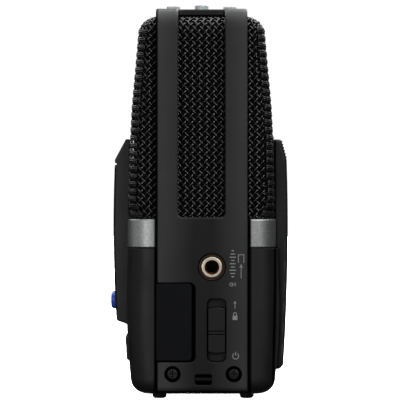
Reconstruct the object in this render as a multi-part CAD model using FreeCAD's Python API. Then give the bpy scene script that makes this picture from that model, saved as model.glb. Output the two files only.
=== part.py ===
import FreeCAD, Part
import math
import os

# A handheld field recorder that stands upright on four rubber feet.
# An inverted-U metal frame arches over a woven-wire microphone head and screws
# to a two-part plastic body.  A raised control panel stands on the front (-Y)
# and a raised battery cover on the back (+Y).
#
# All dimensions are in millimetres.  The functions below work about the middle
# plane of the metal frame, with X across the body, -Y to the front and Z up.
# save() moves everything by FRAME_MID_Y and FOOT_DROP, so that the origin is in
# the middle of the footprint, at the bottom of the feet.

V = FreeCAD.Vector
RIGHT = V(1, 0, 0)
LEFT = V(-1, 0, 0)
FRONT = V(0, -1, 0)
BACK = V(0, 1, 0)
UP = V(0, 0, 1)

# ---- driving dimensions -----------------------------------------------------

FRAME_MID_Y = 1.1  # the frame stands this far behind the middle of the footprint
GAP = 0.2  # clearance round a piece that moves
FIT = 0.05  # clearance between pieces that are fixed together

# metal frame
FRAME_HALF_X = 28.5
FRAME_HALF_Y = 15.3
FRAME_THICK = 2.0
FRAME_TOP = 130.0
FRAME_BOTTOM = 1.6
FRAME_BEND = 7.0
FRAME_EDGE = 0.7
WINDOW_HALF_Y = 7.8
WINDOW_BOTTOM = 60.0
WINDOW_END_X = 20.0
FRAME_INNER = FRAME_HALF_X - FRAME_THICK

# plastic body
BODY_HALF_X = 28.0
BODY_BOTTOM = 0.75
BODY_TOP = 49.5
BODY_CORNER = 8.0
BODY_SHIFT_Y = 0.45  # the shells stand a little behind the frame's middle plane
BODY_BELLY_Y = 25.6
BODY_FOOT_ROUND = 5.2
BODY_SECTIONS = [  # height, half depth
    (BODY_BOTTOM, 23.9),
    (10.6, 24.85),
    (22.0, BODY_BELLY_Y),
    (37.0, BODY_BELLY_Y),
    (BODY_TOP, 25.3),
]
WALL = 2.4
CAVITY_HALF_X = 24.6
CAVITY_FLOOR = 4.0
PLATE_THICK = 1.2
PLATE_TOP = BODY_BOTTOM + PLATE_THICK
BOSS_TOP = 8.0
POCKET_X = FRAME_INNER - 0.1
POCKET_HALF_Y = 15.7
LEDGE_Y = 24.4  # flat seat that the panel and the battery cover stand on

# silver ring and microphone head
RING_BOTTOM = 49.7
RING_TOP = 59.3
RING_HALF_X = 26.2
RING_HALF_Y = 25.0
RING_WALL = 2.2
GRILLE_BOTTOM = 59.5
GRILLE_TOP = 127.4
GRILLE_HALF_X = 25.9
GRILLE_SECTIONS = [(GRILLE_BOTTOM, 25.0), (85.0, 24.2), (97.0, 23.6), (110.0, 22.4), (GRILLE_TOP, 20.9)]
GRILLE_CORNER = 8.0
GRILLE_CROWN = 5.4
GRILLE_THICK = 0.6  # a plain sheet with about the weight of the woven wire
FOAM_INSET = 1.5  # the liner starts behind the full depth of the weave
FOAM_THICK = 1.0
HATCH_HALF_X = 19.5
HATCH_HALF_Y = 13.5
MIC_Z = 101.0
MIC_R = 5.0
MIC_NAMES = {"front_right": 45, "front_left": 135, "rear_left": 225, "rear_right": 315}

# front panel
PANEL_HALF_X = 18.0
PANEL_BOTTOM = 23.6
PANEL_TOP = 86.3
PANEL_SHOULDER_Z = 79.4
PANEL_Y = 29.8
PANEL_TOP_Y = 25.6
PANEL_WALL = 1.4
PANEL_CLEAR = 0.15  # room round the panel in its seat
PANEL_CHIN_Z = 25.0
PANEL_CHIN_R = 1.4
PANEL_BOW_Z = 56.75
PANEL_BOW_R = 525.0
FRONT_PLATE_THICK = 0.65
FRONT_PLATE_HALF_X = 17.6
FRONT_PLATE_BOTTOM = 27.6
FRONT_PLATE_TOP = 77.6
PLATE_NOTCH = 0.7  # open groove between the plate and the cap above it
LENS_HALF_X = 13.6
LENS_BOTTOM = 49.0
LENS_TOP = 74.6
LENS_LEDGE = 0.8
RECORD_Z = 31.2
RECORD_R = 3.1
RECORD_FRONT = -31.4
SIDE_BUTTON_X = 10.6
SIDE_BUTTON_Z = 33.2
FLANGE_FRONT = -26.85
FLANGE_THICK = 0.4

# battery compartment
COVER_HALF_X = 18.5
COVER_Y = 29.16
COVER_BOTTOM = 8.5
COVER_TOP = 86.2
COVER_TOP_Y = 26.9
COVER_SHOULDER_Z = 79.3
COVER_BOW_Z = 56.0
COVER_BOW_R = 714.0
GRIP_RIBS = 6
GRIP_RIB_R = 0.3
GRIP_HALF_X = 16.4
COVER_PIVOT = (26.0, 9.1)  # Y and Z of the line that the cover tips out about
TAB_HALF_X = 2.0
TAB_X = 9.0
TAB_REACH = 23.6
CELL_R = 7.25
CELL_BODY = 49.2
CELL_NUB = 1.3
CELL_X = 7.5
CELL_Y = 19.2
TRAY_HALF_X = 16.9
TRAY_FRONT = 11.0
TRAY_BOTTOM = 12.4
TRAY_TOP = 71.0
TRAY_WALL = 1.2
RIM_HALF_X = 19.4
RIM_TOP = 87.0
RIM_THICK = 0.8

# boards
BOARD_THICK = 1.6
MAIN_BOARD_Y = -1.5
CONTROL_BOARD_Y = -12.6
BOARD_BOTTOM = 10.6
BOARD_TOP = 47.0
SPEAKER_Y = -5.0
SPEAKER_Z = 17.0
SPEAKER_R = 7.6

# side controls and sockets
JACK_Y = 3.4
JACK_Z = 43.3
JACK_BORE = 1.8
JACK_HOLE = 4.6
JACK_DEPTH_X = 13.5  # where the bore ends
SWITCH_HOLE = (3.25, 10.6)  # half width and half height of the opening in the frame
ROCKER_HOLE = (2.8, 7.0)
SWITCH_Y = 5.0
SWITCH_Z = 22.3
FLAP_FRONT = -15.1
FLAP_BACK = -3.3
FLAP_BOTTOM = 12.2
FLAP_TOP = 37.9
FLAP_RECESS_BACK = -2.0
FLAP_RECESS_BOTTOM = 11.6
FLAP_RECESS_TOP = 38.2
CARD_Z = 30.0
USB_Y = -9.35
USB_Z = 18.0
ROCKER_Y = -9.25
ROCKER_Z = 33.0
SCREW_Z = 7.7
SCREW_YS = (-9.7, 10.7)
STRAP_SLOT = (-2.2, 3.4, 4.1, 7.7)  # Y from and to, Z from and to
STRAP_BAR_R = 0.8
STRAP_BAR_X = FRAME_INNER + 0.9

# keys across the lower front
KEY_BOTTOM = 12.0
KEY_TOP = 19.6
KEY_PROUD = 0.75
DISH_R = 9.0
KEY_PITCH = 11.6
KEY_WIDTH = 11.2

# top buttons
MODE_TOP = {"front": 132.45, "middle": 132.45, "rear": 132.3}
MODE_EDGE = 0.5
MODE_MIDDLE_HALF_X = 10.0
MODE_MIDDLE_HALF_Y = 2.35
MODE_OUTER_HALF_X = 6.5
MODE_OUTER_NEAR = 7.4
MODE_OUTER_FAR = 12.0
MODE_OUTER_CORNER = 1.4
MODE_BOARD_Z = 122.9

# feet and tripod socket
FOOT_X = 19.0
FOOT_YS = (-14.2, 15.2)
FOOT_R = 2.35
FOOT_DROP = 1.0
TRIPOD_R = 2.55


# ---- helpers ----------------------------------------------------------------


def box(x0, x1, y0, y1, z0, z1):
    return Part.makeBox(x1 - x0, y1 - y0, z1 - z0, V(x0, y0, z0))


def rod(radius, start, direction, length):
    return Part.makeCylinder(radius, length, start, direction)


def cone(r0, r1, start, direction, length):
    return Part.makeCone(r0, r1, length, start, direction)


def fuse(shapes):
    """One solid out of several that meet, without the seams between them."""
    return shapes[0].fuse(shapes[1:]).removeSplitter()


def cut(shape, *tools):
    for tool in tools:
        shape = shape.cut(tool)
    return shape


def mirrored_x(shape):
    return shape.mirror(V(0, 0, 0), RIGHT)


def rounded(shape, radius, wanted):
    """Rounds the edges whose middle point passes the test `wanted`."""
    chosen = []
    for edge in shape.Edges:
        middle = edge.valueAt((edge.FirstParameter + edge.LastParameter) / 2)
        if wanted(edge, middle):
            chosen.append(edge)
    return shape.makeFillet(radius, chosen)


def runs_along(edge, axis):
    """True for a straight edge parallel to axis."""
    first = edge.Vertexes[0].Point
    last = edge.Vertexes[-1].Point
    span = last.sub(first)
    if span.Length < 1e-6:
        return False
    return abs(abs(span.dot(axis)) - span.Length) < 1e-6 and abs(edge.Length - span.Length) < 1e-6


def block(x0, x1, y0, y1, z0, z1, radius, axis):
    """A box whose four edges along axis are rounded."""
    plain = box(x0, x1, y0, y1, z0, z1)
    return rounded(plain, radius, lambda edge, middle: runs_along(edge, axis))


def centred_block(x0, x1, y, half_y, z, half_z, radius):
    """A block with rounded corners round a point on the side of the recorder."""
    return block(x0, x1, y - half_y, y + half_y, z - half_z, z + half_z, radius, RIGHT)


def rectangle_wire(half_x, half_y, radius, z):
    """A rounded rectangle round the Z axis, drawn from four arcs and four straight sides."""
    edges = []
    centres = [(1, 1), (-1, 1), (-1, -1), (1, -1)]
    arcs = []
    for turn, (side_x, side_y) in enumerate(centres):
        centre = V(side_x * (half_x - radius), side_y * (half_y - radius), z)
        points = []
        for step in range(3):
            angle = math.radians(90 * turn + 45 * step)
            points.append(centre + V(radius * math.cos(angle), radius * math.sin(angle), 0))
        arcs.append(points)
    for turn in range(4):
        start, middle, end = arcs[turn]
        following = arcs[(turn + 1) % 4][0]
        edges.append(Part.Arc(start, middle, end).toShape())
        edges.append(Part.LineSegment(end, following).toShape())
    return Part.Wire(edges)


def tower(half_x, sections, corner, inset=0.0):
    """A loft up through rounded rectangles.  sections holds (height, half depth)."""
    wires = []
    for z, half_y in sections:
        wires.append(rectangle_wire(half_x - inset, half_y - inset, corner - inset, z))
    return Part.makeLoft(wires, True, False)


def prism_x(points, half_x):
    """A polygon in the YZ plane, extruded from -half_x to +half_x."""
    corners = [V(-half_x, y, z) for y, z in points]
    face = Part.Face(Part.makePolygon(corners + [corners[0]]))
    return face.extrude(V(2 * half_x, 0, 0))


def stadium(half_length, half_width, z0, z1):
    """An upright slab with round ends, long in X."""
    return block(-half_length, half_length, -half_width, half_width, z0, z1, half_width * 0.999, UP)


def pan_screw(seat, direction, head_r, head_h, shank_r, length):
    """A cross-recess screw.  seat is under its head; direction points out of the head."""
    head = rod(head_r, seat, direction, head_h)
    rim = head_h
    head = rounded(head, 0.35, lambda edge, middle: abs((middle - seat).dot(direction) - rim) < 1e-6)
    side = UP if abs(direction.z) < 0.5 else RIGHT
    other = direction.cross(side)
    recess_depth = 0.7 * head_h
    bar = 0.62 * head_r
    for along, across in ((side, other), (other, side)):
        corner = seat + direction * (head_h - recess_depth) - along * bar - across * 0.22
        far_corner = corner + along * 2 * bar
        slot_edges = [corner, far_corner, far_corner + across * 0.44, corner + across * 0.44]
        slot = Part.Face(Part.makePolygon(slot_edges + [corner])).extrude(direction * head_h)
        head = head.cut(slot)
    shank = rod(shank_r, seat, direction * -1, length)
    return fuse([head, shank])


# ---- metal frame ------------------------------------------------------------


def arch(half_x, half_y, bottom, top, bend):
    plain = box(-half_x, half_x, -half_y, half_y, bottom, top)
    return rounded(plain, bend, lambda edge, middle: runs_along(edge, BACK) and middle.z > top - 1)


def on_frame_skin(edge, middle):
    """True for the edges that border the outside of the strap, apart from its bend lines."""
    bend_x = FRAME_HALF_X - FRAME_BEND
    bend_z = FRAME_TOP - FRAME_BEND
    if runs_along(edge, BACK) and (abs(abs(middle.x) - bend_x) < 1e-3 or abs(middle.z - bend_z) < 1e-3):
        return False
    from_bend = math.hypot(abs(middle.x) - bend_x, middle.z - bend_z)
    on_side = abs(abs(middle.x) - FRAME_HALF_X) < 1e-3
    on_top = abs(middle.z - FRAME_TOP) < 1e-3
    on_bend = middle.z > bend_z and abs(middle.x) > bend_x and abs(from_bend - FRAME_BEND) < 1e-3
    return on_side or on_top or on_bend


def speaker_slots(x0, x1):
    slots = []
    for number in range(5):
        y = SPEAKER_Y + 2.1 * (number - 2)
        slots.append(block(x0, x1, y - 0.5, y + 0.5, SPEAKER_Z - 4.6, SPEAKER_Z + 4.6, 0.49, RIGHT))
    return slots


def flap_opening(x0, x1):
    opening = box(x0, x1, FLAP_FRONT - 2, FLAP_RECESS_BACK, FLAP_RECESS_BOTTOM, FLAP_RECESS_TOP)
    back = FLAP_RECESS_BACK - 0.01
    return rounded(opening, 2.0, lambda edge, middle: runs_along(edge, RIGHT) and middle.y > back)


def mode_outline(name, z0, z1, grow=0.0):
    """The footprint of one top button: a long bar in the middle, a shorter one in front and behind."""
    if name == "middle":
        return stadium(MODE_MIDDLE_HALF_X + grow, MODE_MIDDLE_HALF_Y + grow, z0, z1)
    half_x = MODE_OUTER_HALF_X + grow
    far = MODE_OUTER_FAR + grow
    near = MODE_OUTER_NEAR - grow
    front = block(-half_x, half_x, -far, -near, z0, z1, MODE_OUTER_CORNER + grow, UP)
    if name == "front":
        return front
    return front.mirror(V(0, 0, 0), BACK)


def make_side_frame():
    frame = arch(FRAME_HALF_X, FRAME_HALF_Y, FRAME_BOTTOM, FRAME_TOP, FRAME_BEND)
    inner_bend = FRAME_BEND - FRAME_THICK
    hollow = arch(FRAME_INNER, FRAME_HALF_Y + 1, FRAME_BOTTOM - 1, FRAME_TOP - FRAME_THICK, inner_bend)
    frame = frame.cut(hollow)
    window = box(WINDOW_END_X, 40, -WINDOW_HALF_Y, WINDOW_HALF_Y, WINDOW_BOTTOM, 140)
    window = rounded(window, 1.5, lambda edge, middle: runs_along(edge, RIGHT) and middle.z < 61)
    window = rounded(window, 1.2, lambda edge, middle: runs_along(edge, UP) and middle.x < 21)
    frame = cut(frame, window, mirrored_x(window))
    frame = rounded(frame, FRAME_EDGE, on_frame_skin)
    # right side: line input, switch, card flap, strap bar
    near = FRAME_INNER - 1
    far = FRAME_HALF_X + 1
    frame = frame.cut(rod(JACK_HOLE, V(near, JACK_Y, JACK_Z), RIGHT, 5))
    frame = frame.cut(centred_block(near, far, SWITCH_Y, SWITCH_HOLE[0], SWITCH_Z, SWITCH_HOLE[1], 2))
    frame = frame.cut(flap_opening(near, far))
    y0, y1, z0, z1 = STRAP_SLOT
    frame = frame.cut(block(near, far, y0, y1, z0, z1, 0.8, RIGHT))
    bar_start = V(STRAP_BAR_X, y0 - 0.75, (z0 + z1) / 2)
    frame = frame.cut(rod(STRAP_BAR_R + FIT, bar_start, BACK, y1 - y0 + 1.5))
    # left side: headphone socket, volume rocker, speaker
    frame = frame.cut(rod(JACK_HOLE, V(-near, JACK_Y, JACK_Z), LEFT, 5))
    frame = frame.cut(centred_block(-far, -near, ROCKER_Y, ROCKER_HOLE[0], ROCKER_Z, ROCKER_HOLE[1], 2))
    frame = cut(frame, *speaker_slots(-far, -near))
    # screws, both sides
    for side, direction in ((1, RIGHT), (-1, LEFT)):
        for y in SCREW_YS:
            frame = frame.cut(rod(1.1, V(side * near, y, SCREW_Z), direction, 5))
            frame = frame.cut(cone(2.0, 2.8, V(side * (FRAME_INNER + 0.9), y, SCREW_Z), direction, 1.2))
    # top buttons, and the posts that carry their board
    for name in ("front", "middle", "rear"):
        frame = frame.cut(mode_outline(name, FRAME_TOP - 3, FRAME_TOP + 1, GAP))
    posts = []
    for x in (-13.2, 13.2):
        for y in (-10.8, 10.8):
            post = rod(1.4, V(x, y, MODE_BOARD_Z + 1.2), UP, FRAME_TOP - FRAME_THICK - MODE_BOARD_Z - 1.1)
            posts.append(post)
    return fuse([frame] + posts)


# ---- body -------------------------------------------------------------------


def body_outside(inset=0.0):
    shape = tower(BODY_HALF_X, BODY_SECTIONS, BODY_CORNER, inset)
    shape = rounded(shape, BODY_FOOT_ROUND, lambda edge, middle: middle.z < BODY_BOTTOM + 0.01)
    return shape.translated(V(0, BODY_SHIFT_Y, 0))


def body_inside():
    sections = [(CAVITY_FLOOR, 24.2)] + BODY_SECTIONS[1:-1] + [(BODY_TOP + 1, 25.2)]
    wires = [rectangle_wire(CAVITY_HALF_X, half_y - WALL, 5.6, z) for z, half_y in sections]
    return Part.makeLoft(wires, True, False).translated(V(0, BODY_SHIFT_Y, 0))


def make_body():
    """The whole body shell, before it is parted into a front and a rear half."""
    outside = body_outside()
    body = outside.cut(body_inside())
    # bosses for the frame screws and the base screws, and a block behind the strap slot
    extras = []
    for side, direction in ((1, LEFT), (-1, RIGHT)):
        for y in SCREW_YS:
            extras.append(rod(2.6, V(side * (CAVITY_HALF_X + 1), y, SCREW_Z), direction, 8))
    for y in (-14.5, 14.5):
        extras.append(rod(2.4, V(0, y, CAVITY_FLOOR - 1), UP, BOSS_TOP - CAVITY_FLOOR + 1))
    extras.append(box(21.0, CAVITY_HALF_X + 0.5, -4, 4.6, CAVITY_FLOOR - 0.5, 9.2))
    # posts for the boards
    for x in (-19.0, 19.0):
        reach = BODY_BELLY_Y - 1.2 + CONTROL_BOARD_Y - FIT
        extras.append(rod(2.2, V(x, -BODY_BELLY_Y + 1.2, 42.0), BACK, reach))
    for x in (-20.5, 20.5):
        extras.append(rod(2.2, V(x, MAIN_BOARD_Y + BOARD_THICK + FIT, 34.0), BACK, 24.0))
    body = fuse([body] + extras).common(outside)
    # sunk panel for the metal frame on each side, open at the top
    pocket = box(POCKET_X, 40, -POCKET_HALF_Y, POCKET_HALF_Y, FRAME_BOTTOM - 0.4, BODY_TOP + 1)
    body = cut(body, pocket, mirrored_x(pocket))
    # seats for the control panel and the battery cover
    seat_half_x = PANEL_HALF_X + PANEL_CLEAR
    body = body.cut(box(-seat_half_x, seat_half_x, -40, -LEDGE_Y, PANEL_BOTTOM - PANEL_CLEAR, BODY_TOP + 1))
    cover_seat = box(-COVER_HALF_X - 0.3, COVER_HALF_X + 0.3, LEDGE_Y, 40, COVER_BOTTOM - 0.5, BODY_TOP + 1)
    body = body.cut(cover_seat)
    tray_hole = box(-TRAY_HALF_X - FIT, TRAY_HALF_X + FIT, 15, 40, TRAY_BOTTOM - FIT, BODY_TOP + 1)
    body = body.cut(tray_hole)
    for x in (-TAB_X, TAB_X):
        half = TAB_HALF_X + GAP
        body = body.cut(box(x - half, x + half, 20, 26, COVER_PIVOT[1], COVER_PIVOT[1] + 2.3))
    # ribbon slot behind the panel, and the long slot of the front keys
    body = body.cut(box(-6.6, 6.6, -30, -20, 38.4, 39.6))
    half_row = 2 * KEY_PITCH
    body = body.cut(box(-half_row, half_row, -30, -20, KEY_BOTTOM - GAP, KEY_TOP + GAP))
    # right side sockets
    side_hole = CAVITY_HALF_X - 1
    body = body.cut(rod(3.7, V(side_hole, JACK_Y, JACK_Z), RIGHT, 5))
    body = body.cut(centred_block(side_hole, 30, SWITCH_Y, 1.7, SWITCH_Z, 4.6, 1))
    body = body.cut(box(side_hole, 30, -10.85, -9.35, CARD_Z - 5.8, CARD_Z + 5.8))
    body = body.cut(block(side_hole, 30, USB_Y - 1.85, USB_Y + 1.85, USB_Z - 4.7, USB_Z + 4.7, 1.8, RIGHT))
    y0, y1, z0, z1 = STRAP_SLOT
    body = body.cut(block(22.6, 30, y0, y1, z0, z1, 0.8, RIGHT))
    # left side sockets
    body = body.cut(rod(3.7, V(-side_hole, JACK_Y, JACK_Z), LEFT, 5))
    for z in (ROCKER_Z - 3.6, ROCKER_Z + 3.6):
        body = body.cut(rod(1.3, V(-side_hole, ROCKER_Y, z), LEFT, 5))
    body = cut(body, *speaker_slots(-30, -side_hole))
    # screw holes
    for side, direction in ((1, LEFT), (-1, RIGHT)):
        for y in SCREW_YS:
            body = body.cut(rod(1.0, V(side * 30, y, SCREW_Z), direction, 12.5))
    for x in (-19.0, 19.0):
        body = body.cut(rod(1.0, V(x, CONTROL_BOARD_Y, 42.0), FRONT, 6))
    for x in (-20.5, 20.5):
        body = body.cut(rod(1.0, V(x, MAIN_BOARD_Y, 34.0), BACK, 8))
    # underneath: recess of the base plate, its screws and the tripod socket
    body = body.cut(block(-22.1, 22.1, -18.1, 18.1, 0, PLATE_TOP + FIT, 4, UP))
    for y in (-14.5, 14.5):
        body = body.cut(rod(1.0, V(0, y, 1), UP, BOSS_TOP - 1.3))
    return body.cut(rod(5.1, V(0, 0, 0), UP, 8))


def make_front_shell(body):
    return body.common(box(-40, 40, -40, -FIT, 0, 60))


def make_rear_shell(body):
    return body.common(box(-40, 40, FIT, 40, 0, 60))


def make_base_plate():
    plate = block(-22.0, 22.0, -18.0, 18.0, BODY_BOTTOM, PLATE_TOP, 3.9, UP)
    plate = plate.cut(rod(5.1, V(0, 0, 0), UP, 8))
    for y in (-14.5, 14.5):
        plate = plate.cut(rod(1.1, V(0, y, 0), UP, 8))
        plate = plate.cut(cone(2.1, 1.1, V(0, y, BODY_BOTTOM), UP, 1.0))
    return plate


def make_base_screws():
    screws = []
    for y in (-14.5, 14.5):
        head = cone(2.0, 0.95, V(0, y, BODY_BOTTOM + 0.05), UP, 1.0)
        slot = box(-1.2, 1.2, y - 0.22, y + 0.22, BODY_BOTTOM, BODY_BOTTOM + 0.5)
        cross = box(-0.22, 0.22, y - 1.2, y + 1.2, BODY_BOTTOM, BODY_BOTTOM + 0.5)
        head = cut(head, slot, cross)
        screws.append(fuse([head, rod(0.95, V(0, y, BODY_BOTTOM + 1.05), UP, 5.6)]))
    return screws


def make_tripod_insert():
    insert = rod(5.0, V(0, 0, BODY_BOTTOM + 0.1), UP, 8.2)
    flange = rod(6.6, V(0, 0, CAVITY_FLOOR + FIT), UP, 1.4)
    insert = fuse([insert, flange])
    bore = rod(TRIPOD_R, V(0, 0, 0), UP, 8.9)
    lead_in = cone(3.3, TRIPOD_R, V(0, 0, BODY_BOTTOM + 0.1), UP, 0.7)
    return cut(insert, bore, lead_in)


def make_rubber_feet():
    feet = []
    for x in (-FOOT_X, FOOT_X):
        for y in FOOT_YS:
            foot = rod(FOOT_R, V(x, y, -FOOT_DROP), UP, BODY_BOTTOM - FIT + FOOT_DROP)
            feet.append(rounded(foot, 1.0, lambda edge, middle: middle.z < 0.01 - FOOT_DROP))
    return feet


def make_frame_screws():
    screws = []
    for side, direction in ((1, RIGHT), (-1, LEFT)):
        for y in SCREW_YS:
            seat = V(side * (FRAME_INNER + 0.9), y, SCREW_Z)
            screws.append(pan_screw(seat, direction, 1.75, 0.95, 0.95, 9.0))
    return screws


def make_strap_bar():
    y0, y1, z0, z1 = STRAP_SLOT
    return rod(STRAP_BAR_R, V(STRAP_BAR_X, y0 - 0.7, (z0 + z1) / 2), BACK, y1 - y0 + 1.4)


# ---- ring and microphone head -----------------------------------------------


def panel_seat_cut():
    half_x = PANEL_HALF_X + PANEL_CLEAR
    return box(-half_x, half_x, -40, -LEDGE_Y, PANEL_BOTTOM - PANEL_CLEAR, PANEL_TOP + 2 * PANEL_CLEAR)


def cover_seat_cut():
    return box(-COVER_HALF_X - 0.3, COVER_HALF_X + 0.3, LEDGE_Y, 40, COVER_BOTTOM - 0.5, COVER_TOP + 0.4)


def tray_cut(gap):
    half_x = TRAY_HALF_X + gap
    return box(-half_x, half_x, TRAY_FRONT - gap, 40, TRAY_BOTTOM - gap, TRAY_TOP + gap)


def tray_rim():
    """The flat border that shows beside and above the battery cover, on the microphone head."""
    return box(-RIM_HALF_X, RIM_HALF_X, LEDGE_Y - RIM_THICK, LEDGE_Y - FIT, GRILLE_BOTTOM + GAP, RIM_TOP)


def make_trim_ring():
    outside = tower(RING_HALF_X, [(RING_BOTTOM, RING_HALF_Y), (RING_TOP, RING_HALF_Y)], BODY_CORNER)
    outside = rounded(outside, 0.5, lambda edge, middle: not runs_along(edge, UP))
    inside_wires = []
    for z in (RING_BOTTOM - 1, RING_TOP + 1):
        inside_wires.append(rectangle_wire(RING_HALF_X - RING_WALL, RING_HALF_Y - RING_WALL, 5.8, z))
    ring = outside.cut(Part.makeLoft(inside_wires, True, False))
    # lugs that hold the microphone bracket
    for x in (-21.5, 21.5):
        lug = box(x - 2.6, x + 2.6, -14.0, 6.0, 53.6, 55.6)
        ring = fuse([ring, lug])
    return cut(ring, panel_seat_cut(), cover_seat_cut(), tray_cut(FIT))


def head_solid(inset):
    """The microphone head as a full solid, drawn in by inset."""
    sections = [(z, half_y) for z, half_y in GRILLE_SECTIONS]
    sections[-1] = (GRILLE_TOP - inset, sections[-1][1])
    shape = tower(GRILLE_HALF_X, sections, GRILLE_CORNER, inset)
    top = GRILLE_TOP - inset
    return rounded(shape, GRILLE_CROWN - inset * 0.6, lambda edge, middle: middle.z > top - 0.01)


def head_layer(outer_inset, thickness):
    layer = head_solid(outer_inset).cut(head_solid(outer_inset + thickness))
    layer = layer.cut(box(-HATCH_HALF_X, HATCH_HALF_X, -HATCH_HALF_Y, HATCH_HALF_Y, 110, 140))
    half_x = RIM_HALF_X + FIT
    behind_rim = box(-half_x, half_x, LEDGE_Y - RIM_THICK - FIT, 40, GRILLE_BOTTOM - 1, RIM_TOP + FIT)
    return cut(layer, panel_seat_cut(), cover_seat_cut(), tray_cut(FIT), behind_rim)


def make_mic_grille():
    return head_layer(0.0, GRILLE_THICK)


def make_foam_liner():
    return head_layer(FOAM_INSET, FOAM_THICK)


def mic_direction(angle):
    """Outward direction of a capsule; 45 degrees is front right."""
    turn = math.radians(angle)
    return V(math.cos(turn), -math.sin(turn), 0)


def make_mic_bracket():
    foot = block(-22.5, 22.5, -13.5, 5.5, 55.7, 57.7, 2, UP)
    mast = block(-5.0, 5.0, -5.0, 5.0, 57.0, MIC_Z + 6.6, 1.2, UP)
    bracket = fuse([foot, mast])
    for angle in MIC_NAMES.values():
        direction = mic_direction(angle)
        sleeve = rod(MIC_R + 1.4, V(0, 0, MIC_Z) + direction * 4.0, direction, 7.4)
        bracket = fuse([bracket, sleeve])
    for angle in MIC_NAMES.values():
        direction = mic_direction(angle)
        bracket = bracket.cut(rod(MIC_R + 0.1, V(0, 0, MIC_Z) + direction * 7.4, direction, 9))
    return bracket


def make_capsule(angle):
    direction = mic_direction(angle)
    start = V(0, 0, MIC_Z) + direction * 7.5
    can = rod(MIC_R, start, direction, 6.4)
    can = rounded(can, 0.4, lambda edge, middle: (middle - start).dot(direction) > 6.3)
    face = start + direction * 6.4
    can = can.cut(rod(3.9, face - direction * 0.4, direction, 1))
    side = direction.cross(UP)
    for ring in range(6):
        turn = math.radians(60 * ring)
        offset = side * (2.3 * math.cos(turn)) + UP * (2.3 * math.sin(turn))
        can = can.cut(rod(0.5, face - direction * 0.8 + offset, direction, 1))
    return can


def make_mic_board():
    board = box(-16.0, 16.0, -12.5, -6.0, 57.8, 59.0)
    return board


# ---- top buttons ------------------------------------------------------------


def make_mode_board():
    return block(-16.5, 16.5, -12.8, 12.8, MODE_BOARD_Z, MODE_BOARD_Z + 1.15, 2, UP)


def mode_switch_places():
    return {"front": V(0, -9.55, 0), "middle": V(0, 0, 0), "rear": V(0, 9.55, 0)}


def make_mode_switches():
    switches = []
    for place in mode_switch_places().values():
        base = box(-1.9, 1.9, place.y - 1.4, place.y + 1.4, MODE_BOARD_Z + 1.2, MODE_BOARD_Z + 2.2)
        plunger = rod(0.8, V(0, place.y, MODE_BOARD_Z + 2.2), UP, 0.4)
        switches.append(fuse([base, plunger]))
    return switches


def make_mode_button(name):
    top = MODE_TOP[name]
    cap = mode_outline(name, FRAME_TOP - FRAME_THICK - 0.9, top)
    cap = rounded(cap, MODE_EDGE, lambda edge, middle: middle.z > top - 0.01)
    skirt = mode_outline(name, FRAME_TOP - FRAME_THICK - 0.9, FRAME_TOP - FRAME_THICK - GAP, 0.7)
    place = mode_switch_places()[name]
    stem_bottom = MODE_BOARD_Z + 2.6 + 0.75
    stem = rod(1.0, V(0, place.y, stem_bottom), UP, FRAME_TOP - FRAME_THICK - 0.5 - stem_bottom)
    return fuse([cap, skirt, stem])


# ---- front panel ------------------------------------------------------------


def bow(z, crest_z, radius):
    """How far a face bowed to radius has fallen back at height z."""
    return radius - math.sqrt(radius ** 2 - (z - crest_z) ** 2)


def panel_face_y(z, sunk=0.0):
    """Y of the bowed front at height z, or of a surface sunk below it."""
    return -PANEL_Y + sunk + bow(z, PANEL_BOW_Z, PANEL_BOW_R)


def cover_face_y(z, inset=0.0):
    """Y of the battery cover's bowed back face at height z."""
    return COVER_Y - inset - bow(z, COVER_BOW_Z, COVER_BOW_R)


def bowed_prism(points, face_y, z0, z1, half_x):
    """Like prism_x, with an arc of the face from height z0 to z1 closing the outline."""
    corners = [V(-half_x, y, z) for y, z in points]
    middle = (z0 + z1) / 2
    ends_and_middle = [V(-half_x, face_y(z), z) for z in (z0, middle, z1)]
    arc = Part.Arc(*ends_and_middle)
    edges = [arc.toShape()]
    path = [V(-half_x, face_y(z1), z1)] + corners + [V(-half_x, face_y(z0), z0)]
    for start, end in zip(path, path[1:]):
        edges.append(Part.LineSegment(start, end).toShape())
    return Part.Face(Part.Wire(edges)).extrude(V(2 * half_x, 0, 0))


def panel_solid(inset, seat_y, half_x):
    """The panel as a full solid: bowed front, sloping top and a short slope underneath."""
    points = [
        (-PANEL_TOP_Y + inset * 0.4, PANEL_TOP - inset),
        (seat_y, PANEL_TOP - inset),
        (seat_y, PANEL_BOTTOM + inset),
        (-25.2, PANEL_BOTTOM + inset),
    ]
    low = PANEL_CHIN_Z + inset * 0.4
    high = PANEL_SHOULDER_Z - inset * 0.4
    return bowed_prism(points, lambda z: panel_face_y(z, inset), low, high, half_x)


def window_block(grow):
    """The outline of the display window, as a block that runs through the front."""
    half_x = LENS_HALF_X + grow
    return block(-half_x, half_x, -40, -25, LENS_BOTTOM - grow, LENS_TOP + grow, 1.4 + grow, BACK)


def cut_button_holes(shape):
    shape = shape.cut(rod(RECORD_R + GAP, V(0, -40, RECORD_Z), BACK, 15))
    for x in (-SIDE_BUTTON_X, SIDE_BUTTON_X):
        shape = shape.cut(side_button_block(x, -40, -25, GAP))
    return shape


def front_skin(outer_sunk, inner_sunk, z0, z1):
    """A layer that follows the bowed front between two depths, over the panel's whole width."""
    ends = [(-25, 95), (-25, 15)]
    layers = []
    for sunk in (outer_sunk, inner_sunk):
        layers.append(bowed_prism(ends, lambda z: panel_face_y(z, sunk), 15, 95, PANEL_HALF_X + 1))
    skin = layers[0].cut(layers[1])
    return skin.common(box(-PANEL_HALF_X - 1, PANEL_HALF_X + 1, -40, -20, z0, z1))


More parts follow.
